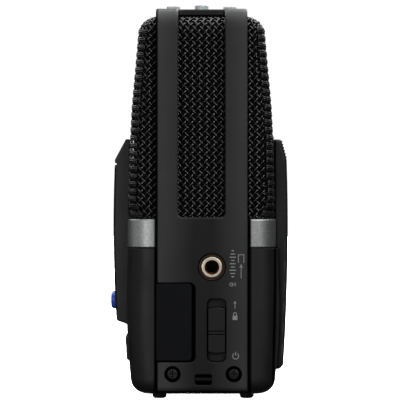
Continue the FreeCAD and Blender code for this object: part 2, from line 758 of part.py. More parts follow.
def make_control_panel():
    """The panel's tray: a cap above and a chin below, with a bed for the front plate between."""
    panel = panel_solid(0, -LEDGE_Y - FIT, PANEL_HALF_X)
    panel = rounded(panel, PANEL_CHIN_R, lambda edge, mid: runs_along(edge, RIGHT) and mid.z < 30 and mid.y < -27)
    panel = rounded(panel, 0.5, lambda edge, mid: runs_along(edge, RIGHT) and mid.z > 85 and mid.y < -25)
    panel = rounded(panel, 0.5, lambda edge, mid: abs(abs(mid.x) - PANEL_HALF_X) < 1e-3 and mid.y < -25)
    hollow = panel_solid(PANEL_WALL + FRONT_PLATE_THICK, -LEDGE_Y + 1, PANEL_HALF_X - PANEL_WALL)
    bed = front_skin(-2, FRONT_PLATE_THICK, FRONT_PLATE_BOTTOM - FIT, FRONT_PLATE_TOP + PLATE_NOTCH)
    return cut_button_holes(cut(panel, hollow, bed, window_block(-LENS_LEDGE)))


def make_front_plate():
    """The glossy black plate over the whole panel front, with the display window cut in it."""
    outline = block(
        -FRONT_PLATE_HALF_X, FRONT_PLATE_HALF_X, -40, -25, FRONT_PLATE_BOTTOM, FRONT_PLATE_TOP, 1.5, BACK
    )
    plate = front_skin(0, FRONT_PLATE_THICK - FIT, 20, 90).common(outline)
    plate = plate.cut(window_block(FIT))
    return cut_button_holes(plate)


def side_button_block(x, y0, y1, grow):
    half_x = 3.0 + grow
    half_z = 1.7 + grow
    low = SIDE_BUTTON_Z - half_z
    high = SIDE_BUTTON_Z + half_z
    return block(x - half_x, x + half_x, y0, y1, low, high, half_z * 0.98, BACK)


def make_display_lens():
    """The clear window that fills the opening in the front plate."""
    return front_skin(FIT, FRONT_PLATE_THICK - FIT, 20, 90).common(window_block(0))


def make_display_module():
    """The liquid crystal display: a glass sandwich in a thin frame."""
    glass = box(-15.2, 15.2, -27.3, -26.3, 47.6, 76.0)
    frame = box(-15.8, 15.8, -26.3, -24.6, 46.8, 76.4)
    return fuse([glass, frame])


def make_panel_board():
    return box(-16.2, 16.2, -25.15, -24.5, 26.2, 45.4)


def make_panel_switches():
    switches = []
    for x, z in ((0, RECORD_Z), (-SIDE_BUTTON_X, SIDE_BUTTON_Z), (SIDE_BUTTON_X, SIDE_BUTTON_Z)):
        switches.append(box(x - 1.6, x + 1.6, -25.85, -25.2, z - 1.6, z + 1.6))
    return switches


def make_record_button():
    cap = rod(RECORD_R, V(0, RECORD_FRONT, RECORD_Z), BACK, FLANGE_FRONT + 0.1 - RECORD_FRONT)
    cap = rounded(cap, 1.1, lambda edge, middle: middle.y < RECORD_FRONT + 0.01)
    flange = rod(RECORD_R + 0.7, V(0, FLANGE_FRONT, RECORD_Z), BACK, FLANGE_THICK)
    dish = Part.makeSphere(14.0, V(0, RECORD_FRONT - 13.8, RECORD_Z))
    return fuse([cap, flange]).cut(dish)


def make_side_button(x):
    front = panel_face_y(SIDE_BUTTON_Z) - 0.3
    cap = side_button_block(x, front, FLANGE_FRONT + 0.1, 0)
    cap = rounded(cap, 0.3, lambda edge, middle: middle.y < front + 0.01)
    flange = side_button_block(x, FLANGE_FRONT, FLANGE_FRONT + FLANGE_THICK, 0.6)
    return fuse([cap, flange])


def make_panel_ribbon():
    return box(-6.0, 6.0, -24.45, CONTROL_BOARD_Y - FIT, 38.85, 39.15)


# ---- front keys -------------------------------------------------------------


def key_x(number):
    return KEY_PITCH * (number - 1.5)


def make_key(number, skin):
    """A key cut from a skin that stands proud of the body, with a shallow dish along the row."""
    x = key_x(number)
    slab = box(x - KEY_WIDTH / 2, x + KEY_WIDTH / 2, -40, -22.6, KEY_BOTTOM, KEY_TOP)
    cap = skin.common(slab)
    middle_z = (KEY_BOTTOM + KEY_TOP) / 2
    crest_y = BODY_SHIFT_Y - BODY_BELLY_Y - KEY_PROUD
    dish = rod(DISH_R, V(-30, crest_y - DISH_R + 0.45, middle_z), RIGHT, 60)
    cap = cap.cut(dish)
    stem_x = x * 0.97
    stem = rod(1.3, V(stem_x, -23.0, middle_z), BACK, 23.0 + CONTROL_BOARD_Y - 4.6)
    return fuse([cap, stem])


def make_key_switches():
    switches = []
    for number in range(4):
        x = key_x(number) * 0.97
        z = (KEY_BOTTOM + KEY_TOP) / 2
        base = box(x - 2.2, x + 2.2, CONTROL_BOARD_Y - 2.6, CONTROL_BOARD_Y - FIT, z - 2.2, z + 2.2)
        plunger = rod(1.2, V(x, CONTROL_BOARD_Y - 2.6, z), FRONT, 1.2)
        switches.append(fuse([base, plunger]))
    return switches


# ---- boards -----------------------------------------------------------------


def board_at(y):
    board = box(-22.0, 22.0, y, y + BOARD_THICK, BOARD_BOTTOM, BOARD_TOP)
    return board.cut(box(-30, -19.0, y - 1, y + 3, 0, 28.0))


def make_control_board():
    board = board_at(CONTROL_BOARD_Y)
    for x in (-19.0, 19.0):
        board = board.cut(rod(1.1, V(x, CONTROL_BOARD_Y - 1, 42.0), BACK, 4))
    return board


def make_main_board():
    board = board_at(MAIN_BOARD_Y)
    for x in (-20.5, 20.5):
        board = board.cut(rod(1.1, V(x, MAIN_BOARD_Y - 1, 34.0), BACK, 4))
    return board


def make_board_rails():
    """Two upright ribs on the floor whose grooves take the boards' lower edges."""
    rails = []
    for x in (-13.5, 13.5):
        rail = box(x - 1.2, x + 1.2, -16.0, 3.0, CAVITY_FLOOR + FIT, 13.0)
        for y in (CONTROL_BOARD_Y, MAIN_BOARD_Y):
            rail = rail.cut(box(x - 3, x + 3, y - FIT, y + BOARD_THICK + FIT, BOARD_BOTTOM - FIT, 20))
        rails.append(rail)
    return rails


def make_board_screws():
    screws = []
    for x in (-19.0, 19.0):
        seat = V(x, CONTROL_BOARD_Y + BOARD_THICK + FIT, 42.0)
        screws.append(pan_screw(seat, BACK, 1.8, 1.1, 0.95, 6.5))
    for x in (-20.5, 20.5):
        screws.append(pan_screw(V(x, MAIN_BOARD_Y - FIT, 34.0), FRONT, 1.8, 1.1, 0.95, 6.5))
    return screws


def make_processor():
    """The main chip and two smaller ones on the front of the main board."""
    chips = [box(-6, 6, MAIN_BOARD_Y - 1.05, MAIN_BOARD_Y - FIT, 22, 34)]
    chips.append(box(9, 15, MAIN_BOARD_Y - 0.95, MAIN_BOARD_Y - FIT, 36, 41))
    chips.append(box(-15, -9, MAIN_BOARD_Y - 0.95, MAIN_BOARD_Y - FIT, 36, 41))
    return chips


# ---- sockets and side controls ----------------------------------------------


def make_jack_body(side):
    """A 3.5 mm socket body on the main board, behind its threaded bush."""
    cheek = box(JACK_DEPTH_X - 1.2, 22.4, JACK_Y - 3.0, JACK_Y + 3.0, JACK_Z - 3.0, JACK_Z + 3.0)
    body = cheek.cut(rod(JACK_BORE, V(JACK_DEPTH_X, JACK_Y, JACK_Z), RIGHT, 20))
    return body if side > 0 else mirrored_x(body)


def make_jack_bush(side):
    """The gilt bush that shows in the frame's round hole, with a tapered mouth."""
    start = 22.45
    end = FRAME_HALF_X - 0.3
    bush = rod(3.55, V(start, JACK_Y, JACK_Z), RIGHT, end - start)
    bush = rounded(bush, 0.35, lambda edge, middle: middle.x > end - 0.01)
    bush = bush.cut(rod(JACK_BORE, V(start - 1, JACK_Y, JACK_Z), RIGHT, 10))
    bush = bush.cut(cone(JACK_BORE, 2.45, V(end - 0.9, JACK_Y, JACK_Z), RIGHT, 0.95))
    return bush if side > 0 else mirrored_x(bush)


def make_switch_knob():
    """The slider of the power and hold switch: rounded ends and two grip grooves."""
    face = FRAME_HALF_X - 0.1
    half_y = 2.75
    half_z = 7.6
    low = SWITCH_Z - half_z
    high = SWITCH_Z + half_z
    knob = box(POCKET_X + 0.25, face, SWITCH_Y - half_y, SWITCH_Y + half_y, low, high)
    bow = rod(9.5, V(20, SWITCH_Y, SWITCH_Z + half_z - 9.5), RIGHT, 12)
    keel = rod(9.5, V(20, SWITCH_Y, SWITCH_Z - half_z + 9.5), RIGHT, 12)
    knob = knob.common(bow).common(keel)
    for z in (SWITCH_Z - 0.3, SWITCH_Z - 1.4):
        knob = knob.cut(box(face - 0.35, 40, 0, 10, z - 0.22, z + 0.22))
    knob = rounded(knob, 0.3, lambda edge, mid: mid.x > face - 0.01 and abs(mid.z - SWITCH_Z) > 5.5)
    stem = box(22.6, POCKET_X + 0.3, SWITCH_Y - 1.2, SWITCH_Y + 1.2, SWITCH_Z - 1.6, SWITCH_Z + 1.6)
    return fuse([knob, stem])


def make_switch_body():
    body = box(17.0, CAVITY_HALF_X - 0.3, 0.2, 8.0, SWITCH_Z - 7.5, SWITCH_Z + 7.5)
    slot = box(22.2, 30, SWITCH_Y - 1.5, SWITCH_Y + 1.5, SWITCH_Z - 4.5, SWITCH_Z + 4.5)
    return body.cut(slot)


def make_card_cover():
    """The smooth rubber flap over the card and USB openings."""
    face = FRAME_HALF_X - 0.12
    back = POCKET_X + 0.4
    y0, y1 = FLAP_FRONT, FLAP_BACK
    z0, z1 = FLAP_BOTTOM, FLAP_TOP
    flap = box(back, face, y0, y1, z0, z1)
    flap = rounded(flap, 1.35, lambda edge, middle: runs_along(edge, RIGHT) and middle.y > y1 - 0.01)
    return rounded(flap, 0.2, lambda edge, middle: middle.x > face - 0.01 and middle.y > y0 + 0.1)


def make_card_socket():
    socket = box(10.6, CAVITY_HALF_X - 0.2, -10.95, -8.9, CARD_Z - 6.1, CARD_Z + 6.1)
    return socket.cut(box(11.0, 40, -10.7, -9.5, CARD_Z - 5.65, CARD_Z + 5.65))


def make_memory_card():
    card = box(11.2, 26.0, -10.6, -9.6, CARD_Z - 5.5, CARD_Z + 5.5)
    return rounded(card, 0.8, lambda edge, middle: runs_along(edge, BACK) and middle.x > 25)


def make_usb_socket():
    half_y, half_z = 1.6, 4.45
    start, end = 18.6, POCKET_X - 0.2
    can = centred_block(start, end, USB_Y, half_y, USB_Z, half_z, 1.55)
    hollow = centred_block(start + 1.0, end + 1, USB_Y, half_y - 0.3, USB_Z, half_z - 0.3, 1.25)
    tongue = box(start + 0.5, end - 0.8, USB_Y - 0.35, USB_Y + 0.35, USB_Z - 3.3, USB_Z + 3.3)
    return fuse([can.cut(hollow), tongue])


def make_volume_rocker():
    """A see-saw key; two nubs behind it reach through the body wall."""
    face = -FRAME_HALF_X
    back = -POCKET_X - 0.45
    half_y, half_z = (size - 0.25 for size in ROCKER_HOLE)
    rocker = centred_block(face, back, ROCKER_Y, half_y, ROCKER_Z, half_z, 1.9)
    rocker = rounded(rocker, 0.5, lambda edge, middle: middle.x < face + 0.01)
    dish = rod(30.0, V(face - 29.75, 0, ROCKER_Z), BACK, 20)
    dish.translate(V(0, -20, 0))
    rocker = rocker.cut(dish)
    nubs = []
    for z in (ROCKER_Z - 3.6, ROCKER_Z + 3.6):
        nubs.append(rod(0.8, V(back - 0.1, ROCKER_Y, z), RIGHT, 1.7))
    return fuse([rocker] + nubs)


def make_volume_switch():
    return box(-24.4, -22.1, ROCKER_Y - 2.0, ROCKER_Y + 2.0, ROCKER_Z - 5.0, ROCKER_Z + 5.0)


def make_speaker():
    basket = rod(SPEAKER_R, V(-24.4, SPEAKER_Y, SPEAKER_Z), RIGHT, 2.2)
    magnet = rod(4.8, V(-22.3, SPEAKER_Y, SPEAKER_Z), RIGHT, 2.4)
    speaker = fuse([basket, magnet])
    return speaker.cut(cone(6.8, 3.0, V(-24.4, SPEAKER_Y, SPEAKER_Z), RIGHT, 1.2))


# ---- battery compartment ----------------------------------------------------


def cover_solid(inset, seat_y, half_x):
    """The battery cover as a full solid: bowed back and sloping top."""
    points = [
        (COVER_TOP_Y - inset * 0.4, COVER_TOP - inset),
        (seat_y, COVER_TOP - inset),
        (seat_y, COVER_BOTTOM + inset),
        (26.4 - inset * 0.6, COVER_BOTTOM + inset),
    ]
    return bowed_prism(
        points, lambda z: cover_face_y(z, inset), 10.0 + inset * 0.4, COVER_SHOULDER_Z - inset * 0.4, half_x
    )


def make_battery_cover():
    cover = cover_solid(0, LEDGE_Y + 0.3, COVER_HALF_X)
    cover = rounded(cover, 1.0, lambda edge, middle: runs_along(edge, RIGHT) and middle.y > 25.5)
    cover = rounded(cover, 1.2, lambda edge, mid: abs(abs(mid.x) - COVER_HALF_X) < 1e-3 and mid.y > 25.6)
    cover = cover.cut(cover_solid(1.3, LEDGE_Y - 1, COVER_HALF_X - 1.4))
    # two tabs at the bottom that hook into the rear shell
    for x in (-TAB_X, TAB_X):
        z = COVER_PIVOT[1] + GAP
        cover = cover.fuse(box(x - TAB_HALF_X, x + TAB_HALF_X, TAB_REACH, COVER_PIVOT[0] + 1.0, z, z + 0.6))
    # grip ribs across the sloping top
    top = V(0, COVER_TOP_Y, COVER_TOP)
    shoulder = V(0, cover_face_y(COVER_SHOULDER_Z), COVER_SHOULDER_Z)
    slope = top - shoulder
    ribs = []
    for number in range(GRIP_RIBS):
        place = shoulder + slope * ((number + 0.9) / (GRIP_RIBS + 0.6))
        rib = rod(GRIP_RIB_R, V(-GRIP_HALF_X, place.y, place.z), RIGHT, 2 * GRIP_HALF_X)
        ribs.append(rib)
    return fuse([cover] + ribs)


def make_battery_tray():
    z_in0, z_in1 = TRAY_BOTTOM + TRAY_WALL, TRAY_TOP - TRAY_WALL
    tray = box(-TRAY_HALF_X, TRAY_HALF_X, TRAY_FRONT, LEDGE_Y - FIT, TRAY_BOTTOM, TRAY_TOP)
    tray = fuse([tray, tray_rim()])
    wells = box(-15.2, 15.2, CELL_Y, 30, z_in0, z_in1)
    tray = tray.cut(wells)
    for x in (-CELL_X, CELL_X):
        tray = tray.cut(rod(CELL_R + 0.15, V(x, CELL_Y, z_in0), UP, z_in1 - z_in0))
    link_slot = box(-5, 5, CELL_Y - 4 - FIT, CELL_Y + 4 + FIT, z_in0, z_in0 + 0.45 + FIT)
    return tray.cut(link_slot)


def make_cell(side):
    """An AA cell.  The right one stands with its terminal up, the left one with it down."""
    start = TRAY_TOP - TRAY_WALL - 0.7 - CELL_NUB - CELL_BODY
    can = rod(CELL_R, V(CELL_X, CELL_Y, start), UP, CELL_BODY)
    rim_length = 2 * math.pi * CELL_R
    can = rounded(can, 0.6, lambda edge, middle: abs(edge.Length - rim_length) < 0.1)
    terminal = rod(2.75, V(CELL_X, CELL_Y, start + CELL_BODY - 0.1), UP, CELL_NUB + 0.1)
    cell = fuse([can, terminal])
    if side > 0:
        return cell
    middle = V(0, CELL_Y, (TRAY_BOTTOM + TRAY_TOP) / 2)
    cell.rotate(middle, BACK, 180)
    return cell


def make_battery_contacts():
    z_low = TRAY_BOTTOM + TRAY_WALL
    z_high = TRAY_TOP - TRAY_WALL
    link = box(-12.5, 12.5, CELL_Y - 4, CELL_Y + 4, z_low + FIT, z_low + 0.45)
    plates = [link]
    for x in (-CELL_X, CELL_X):
        plates.append(box(x - 5, x + 5, CELL_Y - 4, CELL_Y + 4, z_high - 0.45, z_high - FIT))
    return plates


def make_battery_springs():
    """Two coil springs, one under the right cell and one over the left cell."""
    wire_r = 0.32
    coil_r = 3.4
    bottom = TRAY_BOTTOM + TRAY_WALL + 0.45 + wire_r + FIT
    top = TRAY_TOP - TRAY_WALL - 0.7 - CELL_NUB - CELL_BODY - wire_r - FIT
    rise = top - bottom
    helix = Part.makeHelix(rise / 3, rise, coil_r)
    section = Part.Wire(Part.Circle(V(coil_r, 0, 0), BACK, wire_r).toShape())
    spring = Part.Wire(helix).makePipeShell([section], True, True)
    spring.translate(V(CELL_X, CELL_Y, bottom))
    other = spring.copy()
    other.rotate(V(0, CELL_Y, (TRAY_BOTTOM + TRAY_TOP) / 2), BACK, 180)
    return [spring, other]


# ---- writing the pieces -----------------------------------------------------


def save(name, shape):
    solids = shape if isinstance(shape, list) else [shape]
    group = Part.makeCompound(solids) if len(solids) > 1 else solids[0]
    group.translate(V(0, FRAME_MID_Y, FOOT_DROP))
    group.exportStep(f"parts/{name}.step")


def main():
    os.makedirs("parts", exist_ok=True)
    body = make_body()
    proud_skin = body_outside(-KEY_PROUD)
    pieces = {
        "side_frame": make_side_frame(),
        "front_shell": make_front_shell(body),
        "rear_shell": make_rear_shell(body),
        "base_plate": make_base_plate(),
        "base_screws": make_base_screws(),
        "tripod_insert": make_tripod_insert(),
        "rubber_feet": make_rubber_feet(),
        "frame_screws": make_frame_screws(),
        "strap_bar": make_strap_bar(),
        "trim_ring": make_trim_ring(),
        "mic_grille": make_mic_grille(),
        "foam_liner": make_foam_liner(),
        "mic_bracket": make_mic_bracket(),
        "mic_board": make_mic_board(),
        "mode_board": make_mode_board(),
        "control_panel": make_control_panel(),
        "front_plate": make_front_plate(),
        "display_lens": make_display_lens(),
        "display_module": make_display_module(),
        "panel_board": make_panel_board(),
        "panel_ribbon": make_panel_ribbon(),
        "record_button": make_record_button(),
        "menu_button": make_side_button(-SIDE_BUTTON_X),
        "stop_button": make_side_button(SIDE_BUTTON_X),
        "tact_switches": make_key_switches() + make_panel_switches() + make_mode_switches(),
        "control_board": make_control_board(),
        "main_board": make_main_board(),
        "board_rails": make_board_rails(),
        "board_screws": make_board_screws(),
        "board_chips": make_processor(),
        "line_in_socket": make_jack_body(1),
        "line_in_bush": make_jack_bush(1),
        "phones_socket": make_jack_body(-1),
        "phones_bush": make_jack_bush(-1),
        "switch_knob": make_switch_knob(),
        "switch_body": make_switch_body(),
        "card_cover": make_card_cover(),
        "card_socket": make_card_socket(),
        "memory_card": make_memory_card(),
        "usb_socket": make_usb_socket(),
        "volume_rocker": make_volume_rocker(),
        "volume_switch": make_volume_switch(),
        "speaker": make_speaker(),
        "battery_cover": make_battery_cover(),
        "battery_tray": make_battery_tray(),
        "battery_contacts": make_battery_contacts(),
        "battery_springs": make_battery_springs(),
        "cell_right": make_cell(1),
        "cell_left": make_cell(-1),
    }
    for name, angle in MIC_NAMES.items():
        pieces[f"capsule_{name}"] = make_capsule(angle)
    for name in ("front", "middle", "rear"):
        pieces[f"mode_button_{name}"] = make_mode_button(name)
    for number, name in enumerate(("rewind", "play", "forward", "delete")):
        pieces[f"key_{name}"] = make_key(number, proud_skin)
    for name, shape in pieces.items():
        save(name, shape)


main()
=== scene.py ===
import math

import bpy
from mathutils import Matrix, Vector
from mathutils.bvhtree import BVHTree


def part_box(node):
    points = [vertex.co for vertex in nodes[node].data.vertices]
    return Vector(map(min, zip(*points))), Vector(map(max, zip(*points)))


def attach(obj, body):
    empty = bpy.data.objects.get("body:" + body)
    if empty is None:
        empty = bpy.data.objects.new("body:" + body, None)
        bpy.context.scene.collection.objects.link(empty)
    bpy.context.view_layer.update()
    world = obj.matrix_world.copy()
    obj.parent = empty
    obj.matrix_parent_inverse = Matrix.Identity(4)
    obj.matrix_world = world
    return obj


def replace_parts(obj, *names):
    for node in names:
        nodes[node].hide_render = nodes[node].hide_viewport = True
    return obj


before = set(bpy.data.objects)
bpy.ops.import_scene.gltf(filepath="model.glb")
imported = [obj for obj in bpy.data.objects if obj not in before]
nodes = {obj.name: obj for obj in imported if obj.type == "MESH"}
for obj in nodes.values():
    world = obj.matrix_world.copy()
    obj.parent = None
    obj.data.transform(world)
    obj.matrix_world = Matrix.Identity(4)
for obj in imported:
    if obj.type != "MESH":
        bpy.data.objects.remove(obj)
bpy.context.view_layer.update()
scene = bpy.context.scene

MM = 0.001

# ---------------------------------------------------------------- where the object's own axes are
frame_low, frame_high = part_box("side_frame")
MIDDLE_Y = (frame_low.y + frame_high.y) / 2      # middle of the side frame
FRAME_BOTTOM = 1.6 * MM                          # the frame's lower edge above the datum
DATUM_Z = frame_low.z - FRAME_BOTTOM
SEAM_MIDDLE = MIDDLE_Y + 0.35 * MM               # the lines of painted shade sit a little toward the back

bush_low, bush_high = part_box("line_in_bush")
JACK_AXIS = ((bush_low.y + bush_high.y) / 2, (bush_low.z + bush_high.z) / 2)
SCREW_Z = DATUM_Z + 7.7 * MM
SCREW_PLACES = ((MIDDLE_Y - 9.7 * MM, SCREW_Z), (MIDDLE_Y + 10.7 * MM, SCREW_Z))


def above_datum(z):
    """A height of the shared frame as millimetres above the datum."""
    return (z - DATUM_Z) / MM


# ================================================================ materials
def add_node(tree, kind, **values):
    """A new node; in_Scale=2 sets its input Scale, and other names set its own values."""
    node = tree.nodes.new(kind)
    for key, value in values.items():
        if key.startswith("in_"):
            name = key[3:].replace("_", " ")
            node.inputs[name].default_value = value
        else:
            setattr(node, key, value)
    return node


def noise_node(tree, source, scale, detail=3.0, stretch=None, rough=0.5):
    """Noise in the object's own metres; stretch is a factor per axis."""
    link = source
    if stretch:
        mapping = add_node(tree, "ShaderNodeMapping")
        mapping.inputs["Scale"].default_value = stretch
        tree.links.new(source, mapping.inputs["Vector"])
        link = mapping.outputs["Vector"]
    node = add_node(tree, "ShaderNodeTexNoise", in_Scale=scale, in_Detail=detail, in_Roughness=rough)
    tree.links.new(link, node.inputs["Vector"])
    return node.outputs["Fac"]


def remap(tree, source, low, high, to_low, to_high):
    """Spread low to high over to_low to to_high, and hold the ends."""
    node = add_node(tree, "ShaderNodeMapRange")
    node.inputs["From Min"].default_value = low
    node.inputs["From Max"].default_value = high
    node.inputs["To Min"].default_value = to_low
    node.inputs["To Max"].default_value = to_high
    tree.links.new(source, node.inputs["Value"])
    return node.outputs["Result"]


def math_node(tree, operation, first, second):
    """One sum; each of the two values is a number or a socket."""
    node = add_node(tree, "ShaderNodeMath", operation=operation)
    for socket, value in zip(node.inputs, (first, second)):
        if isinstance(value, (int, float)):
            socket.default_value = value
        else:
            tree.links.new(value, socket)
    return node.outputs["Value"]


def mix_colour(tree, factor, first, second):
    """From the first colour to the second as factor goes from 0 to 1; each is three numbers or a socket."""
    node = add_node(tree, "ShaderNodeMix", data_type="RGBA")
    sockets = [s for s in node.inputs if s.type == "RGBA"]
    tree.links.new(factor, node.inputs["Factor"])
    for socket, value in zip(sockets, (first, second)):
        if isinstance(value, tuple):
            socket.default_value = (*value, 1.0)
        else:
            tree.links.new(value, socket)
    return [s for s in node.outputs if s.type == "RGBA"][0]


# ---------------------------------------------------------------- what is painted on the finishes
BLACK = (0.001, 0.001, 0.001)
NOISE_SPAN = (0.3, 0.7)                          # the part of a noise that is spread over a whole range
ROUGH_FINER = 2.3                                # roughness is patchier than colour by this factor
RELIEF_DEPTH = 0.1 * MM
SCATTER_DEPTH = 1.0 * MM

STREAK_COARSER = 0.4                             # share of the grain's scale
STREAK_SPAN = (0.35, 0.65)
STREAK_ROUGH = 0.06
STREAK_TINT = 0.35

DUST_TONE = (0.30, 0.30, 0.30)
DUST_SCALE = 2600.0
DUST_SPAN = (0.70, 0.78)

EDGE_TONE_LEAN = (0.995, 0.80)                        # how far the rounded normal leans where the edge tone starts, and where it is full
EDGE_PATCHES = 420.0
EDGE_PATCH_SPAN = (0.40, 0.62)
EDGE_LEAST = 0.15

RECESS_RIM = 0.15 * MM                           # how softly the painted shade of a recess ends
# painted shade: black in the screw recesses and round the jack hole, dark brown in the throat of the gold
# bush
SCREW_RECESS = 2.65 * MM
JACK_HOLE = 4.62 * MM
JACK_THROAT = 2.38 * MM
THROAT_SHADE_BROWN = (0.26, 0.085, 0.030)
FRAME_HOLES = [(axis, SCREW_RECESS, BLACK) for axis in SCREW_PLACES] + [(JACK_AXIS, JACK_HOLE, BLACK)]

# painted shade: the side frame is darker along its middle, and black on its rims and toward its foot
MIDDLE_SHADE_TONE = (0.0068, 0.0070, 0.0075)
MIDDLE_SHADE_SPAN = (3.0 * MM, 13.0 * MM)             # full inside the first distance, none past the second
MIDDLE_SHADE_WOBBLE = 1.2 * MM
MIDDLE_SHADE_PATCHES = 35.0
FRAME_RIM = (14.75 * MM, 15.10 * MM)
FRAME_FOOT = (frame_low.z + 0.4 * MM, frame_low.z + 2.0 * MM)
FRAME_FOOT_SHADE = 0.9

SEAM_SHADE = (15.9 * MM, 16.5 * MM)                    # painted shade in the joint beside the side frame
OUTER_EDGE = (20.4 * MM, 26.0 * MM)              # painted shade: the shell darkens over this stretch
OUTER_SHADE = 0.8
REAR_JOINT_HEIGHTS = (10.7 * MM, 40.0 * MM)      # the painted shade of the joint before the rear cover leans between these
REAR_JOINT_PLACES = (23.7 * MM, 24.3 * MM)
REAR_JOINT_SHADE_LINE = (0.35 * MM, 0.60 * MM)
REAR_SHADE_REACH = (0.3 * MM, 0.6 * MM)          # the shell's painted shade ends here past the joint

CREVICE_SHADE_SPAN = (0.50, 0.92)                      # how open a place under full painted shade is, and one without it
SHADE_SPECULAR = 0.02                              # a place under painted shade hardly shines


def paint_shade(tree, colour, factor, shade_masks):
    """Paint shade: turn the colour black by factor and note the factor among the shade masks."""
    shade_masks.append(factor)
    return mix_colour(tree, factor, colour, BLACK)


def off_middle(tree, place):
    """The Y of a place past the middle of the side frame, and its Z."""
    split = add_node(tree, "ShaderNodeSeparateXYZ")
    tree.links.new(place, split.inputs["Vector"])
    return math_node(tree, "SUBTRACT", split.outputs["Y"], SEAM_MIDDLE), split.outputs["Z"]


def add_stripes(tree, place, colour, stripes):
    """Bands across one axis: its letter, the pitch, the tone and the share of the pitch that has it."""
    axis, pitch, tone, share = stripes
    split = add_node(tree, "ShaderNodeSeparateXYZ")
    tree.links.new(place, split.inputs["Vector"])
    run = math_node(tree, "DIVIDE", split.outputs["XYZ".index(axis)], pitch)
    band = math_node(tree, "LESS_THAN", math_node(tree, "FRACT", run, 0), share)
    return mix_colour(tree, band, colour, tone)


def add_frame_shade(tree, place, colour, shade_masks):
    """Painted shade on the side frame: darker along its middle, black on its rims and toward its foot."""
    past, height = off_middle(tree, place)
    off = math_node(tree, "ABSOLUTE", past, 0)
    patches = noise_node(tree, place, MIDDLE_SHADE_PATCHES, 2.0)
    uneven = math_node(tree, "ADD", off, remap(tree, patches, *NOISE_SPAN, -MIDDLE_SHADE_WOBBLE, MIDDLE_SHADE_WOBBLE))
    colour = mix_colour(tree, remap(tree, uneven, *MIDDLE_SHADE_SPAN, 1.0, 0.0), colour, MIDDLE_SHADE_TONE)
    colour = paint_shade(tree, colour, remap(tree, off, *FRAME_RIM, 0.0, 1.0), shade_masks)
    return paint_shade(tree, colour, remap(tree, height, *FRAME_FOOT, FRAME_FOOT_SHADE, 0.0), shade_masks)


def add_seam_shade(tree, place, colour, shade_masks):
    """Painted shade: black in the joint beside the side frame."""
    off = math_node(tree, "ABSOLUTE", off_middle(tree, place)[0], 0)
    return paint_shade(tree, colour, remap(tree, off, *SEAM_SHADE, 1.0, 0.0), shade_masks)


def add_rear_joint_shade(tree, place, colour, shade_masks, outer_shade):
    """Painted shade: black in the joint before the rear cover, and the shell darkening toward its outer
    edges up to that joint.
    """
    back, height = off_middle(tree, place)
    line = remap(tree, height, *REAR_JOINT_HEIGHTS, *REAR_JOINT_PLACES)
    past = math_node(tree, "SUBTRACT", back, line)
    if outer_shade:
        before_line = remap(tree, past, *REAR_SHADE_REACH, outer_shade, 0.0)
        toward_edge = remap(tree, math_node(tree, "ABSOLUTE", back, 0), *OUTER_EDGE, 0.0, 1.0)
        colour = mix_colour(tree, math_node(tree, "MULTIPLY", before_line, toward_edge), colour, BLACK)
    joint = remap(tree, math_node(tree, "ABSOLUTE", past, 0), *REAR_JOINT_SHADE_LINE, 1.0, 0.0)
    return paint_shade(tree, colour, joint, shade_masks)


def add_hole_shade(tree, place, colour, shade_masks, hole_shade):
    """A round spot of painted shade about an axis that runs along X: its Y and Z, its radius and the tone.
    """
    (axis_y, axis_z), mouth, tone = hole_shade
    flat = add_node(tree, "ShaderNodeVectorMath", operation="MULTIPLY")
    tree.links.new(place, flat.inputs[0])
    flat.inputs[1].default_value = (0.0, 1.0, 1.0)
    away = add_node(tree, "ShaderNodeVectorMath", operation="DISTANCE")
    tree.links.new(flat.outputs["Vector"], away.inputs[0])
    away.inputs[1].default_value = (0.0, axis_y, axis_z)
    inside = remap(tree, away.outputs["Value"], mouth, mouth + RECESS_RIM, 1.0, 0.0)
    if tone == BLACK:
        shade_masks.append(inside)
    return mix_colour(tree, inside, colour, tone)


def add_crevice_shade(tree, colour, shade_masks, reach):
    """Painted shade: black wherever something else stands closer than reach, in millimetres."""
    hidden = add_node(tree, "ShaderNodeAmbientOcclusion", samples=8)
    hidden.inputs["Distance"].default_value = reach * MM
    return paint_shade(tree, colour, remap(tree, hidden.outputs["AO"], *CREVICE_SHADE_SPAN, 1.0, 0.0), shade_masks)


def add_edge_tone(tree, place, colour, tone, width, keep):
    """Rounded edges and a tone laid along them in patches: the new colour and the rounded normal."""
    soft = add_node(tree, "ShaderNodeBevel", samples=4)
    soft.inputs["Radius"].default_value = width * MM
    facing = add_node(tree, "ShaderNodeNewGeometry").outputs["Normal"]
    dot = add_node(tree, "ShaderNodeVectorMath", operation="DOT_PRODUCT")
    tree.links.new(soft.outputs["Normal"], dot.inputs[0])
    tree.links.new(facing, dot.inputs[1])
    edged = remap(tree, dot.outputs["Value"], *EDGE_TONE_LEAN, 0.0, keep)
    patchy = remap(tree, noise_node(tree, place, EDGE_PATCHES, 4.0), *EDGE_PATCH_SPAN, EDGE_LEAST, 1.0)
    return mix_colour(tree, math_node(tree, "MULTIPLY", edged, patchy), colour, tone), soft.outputs["Normal"]


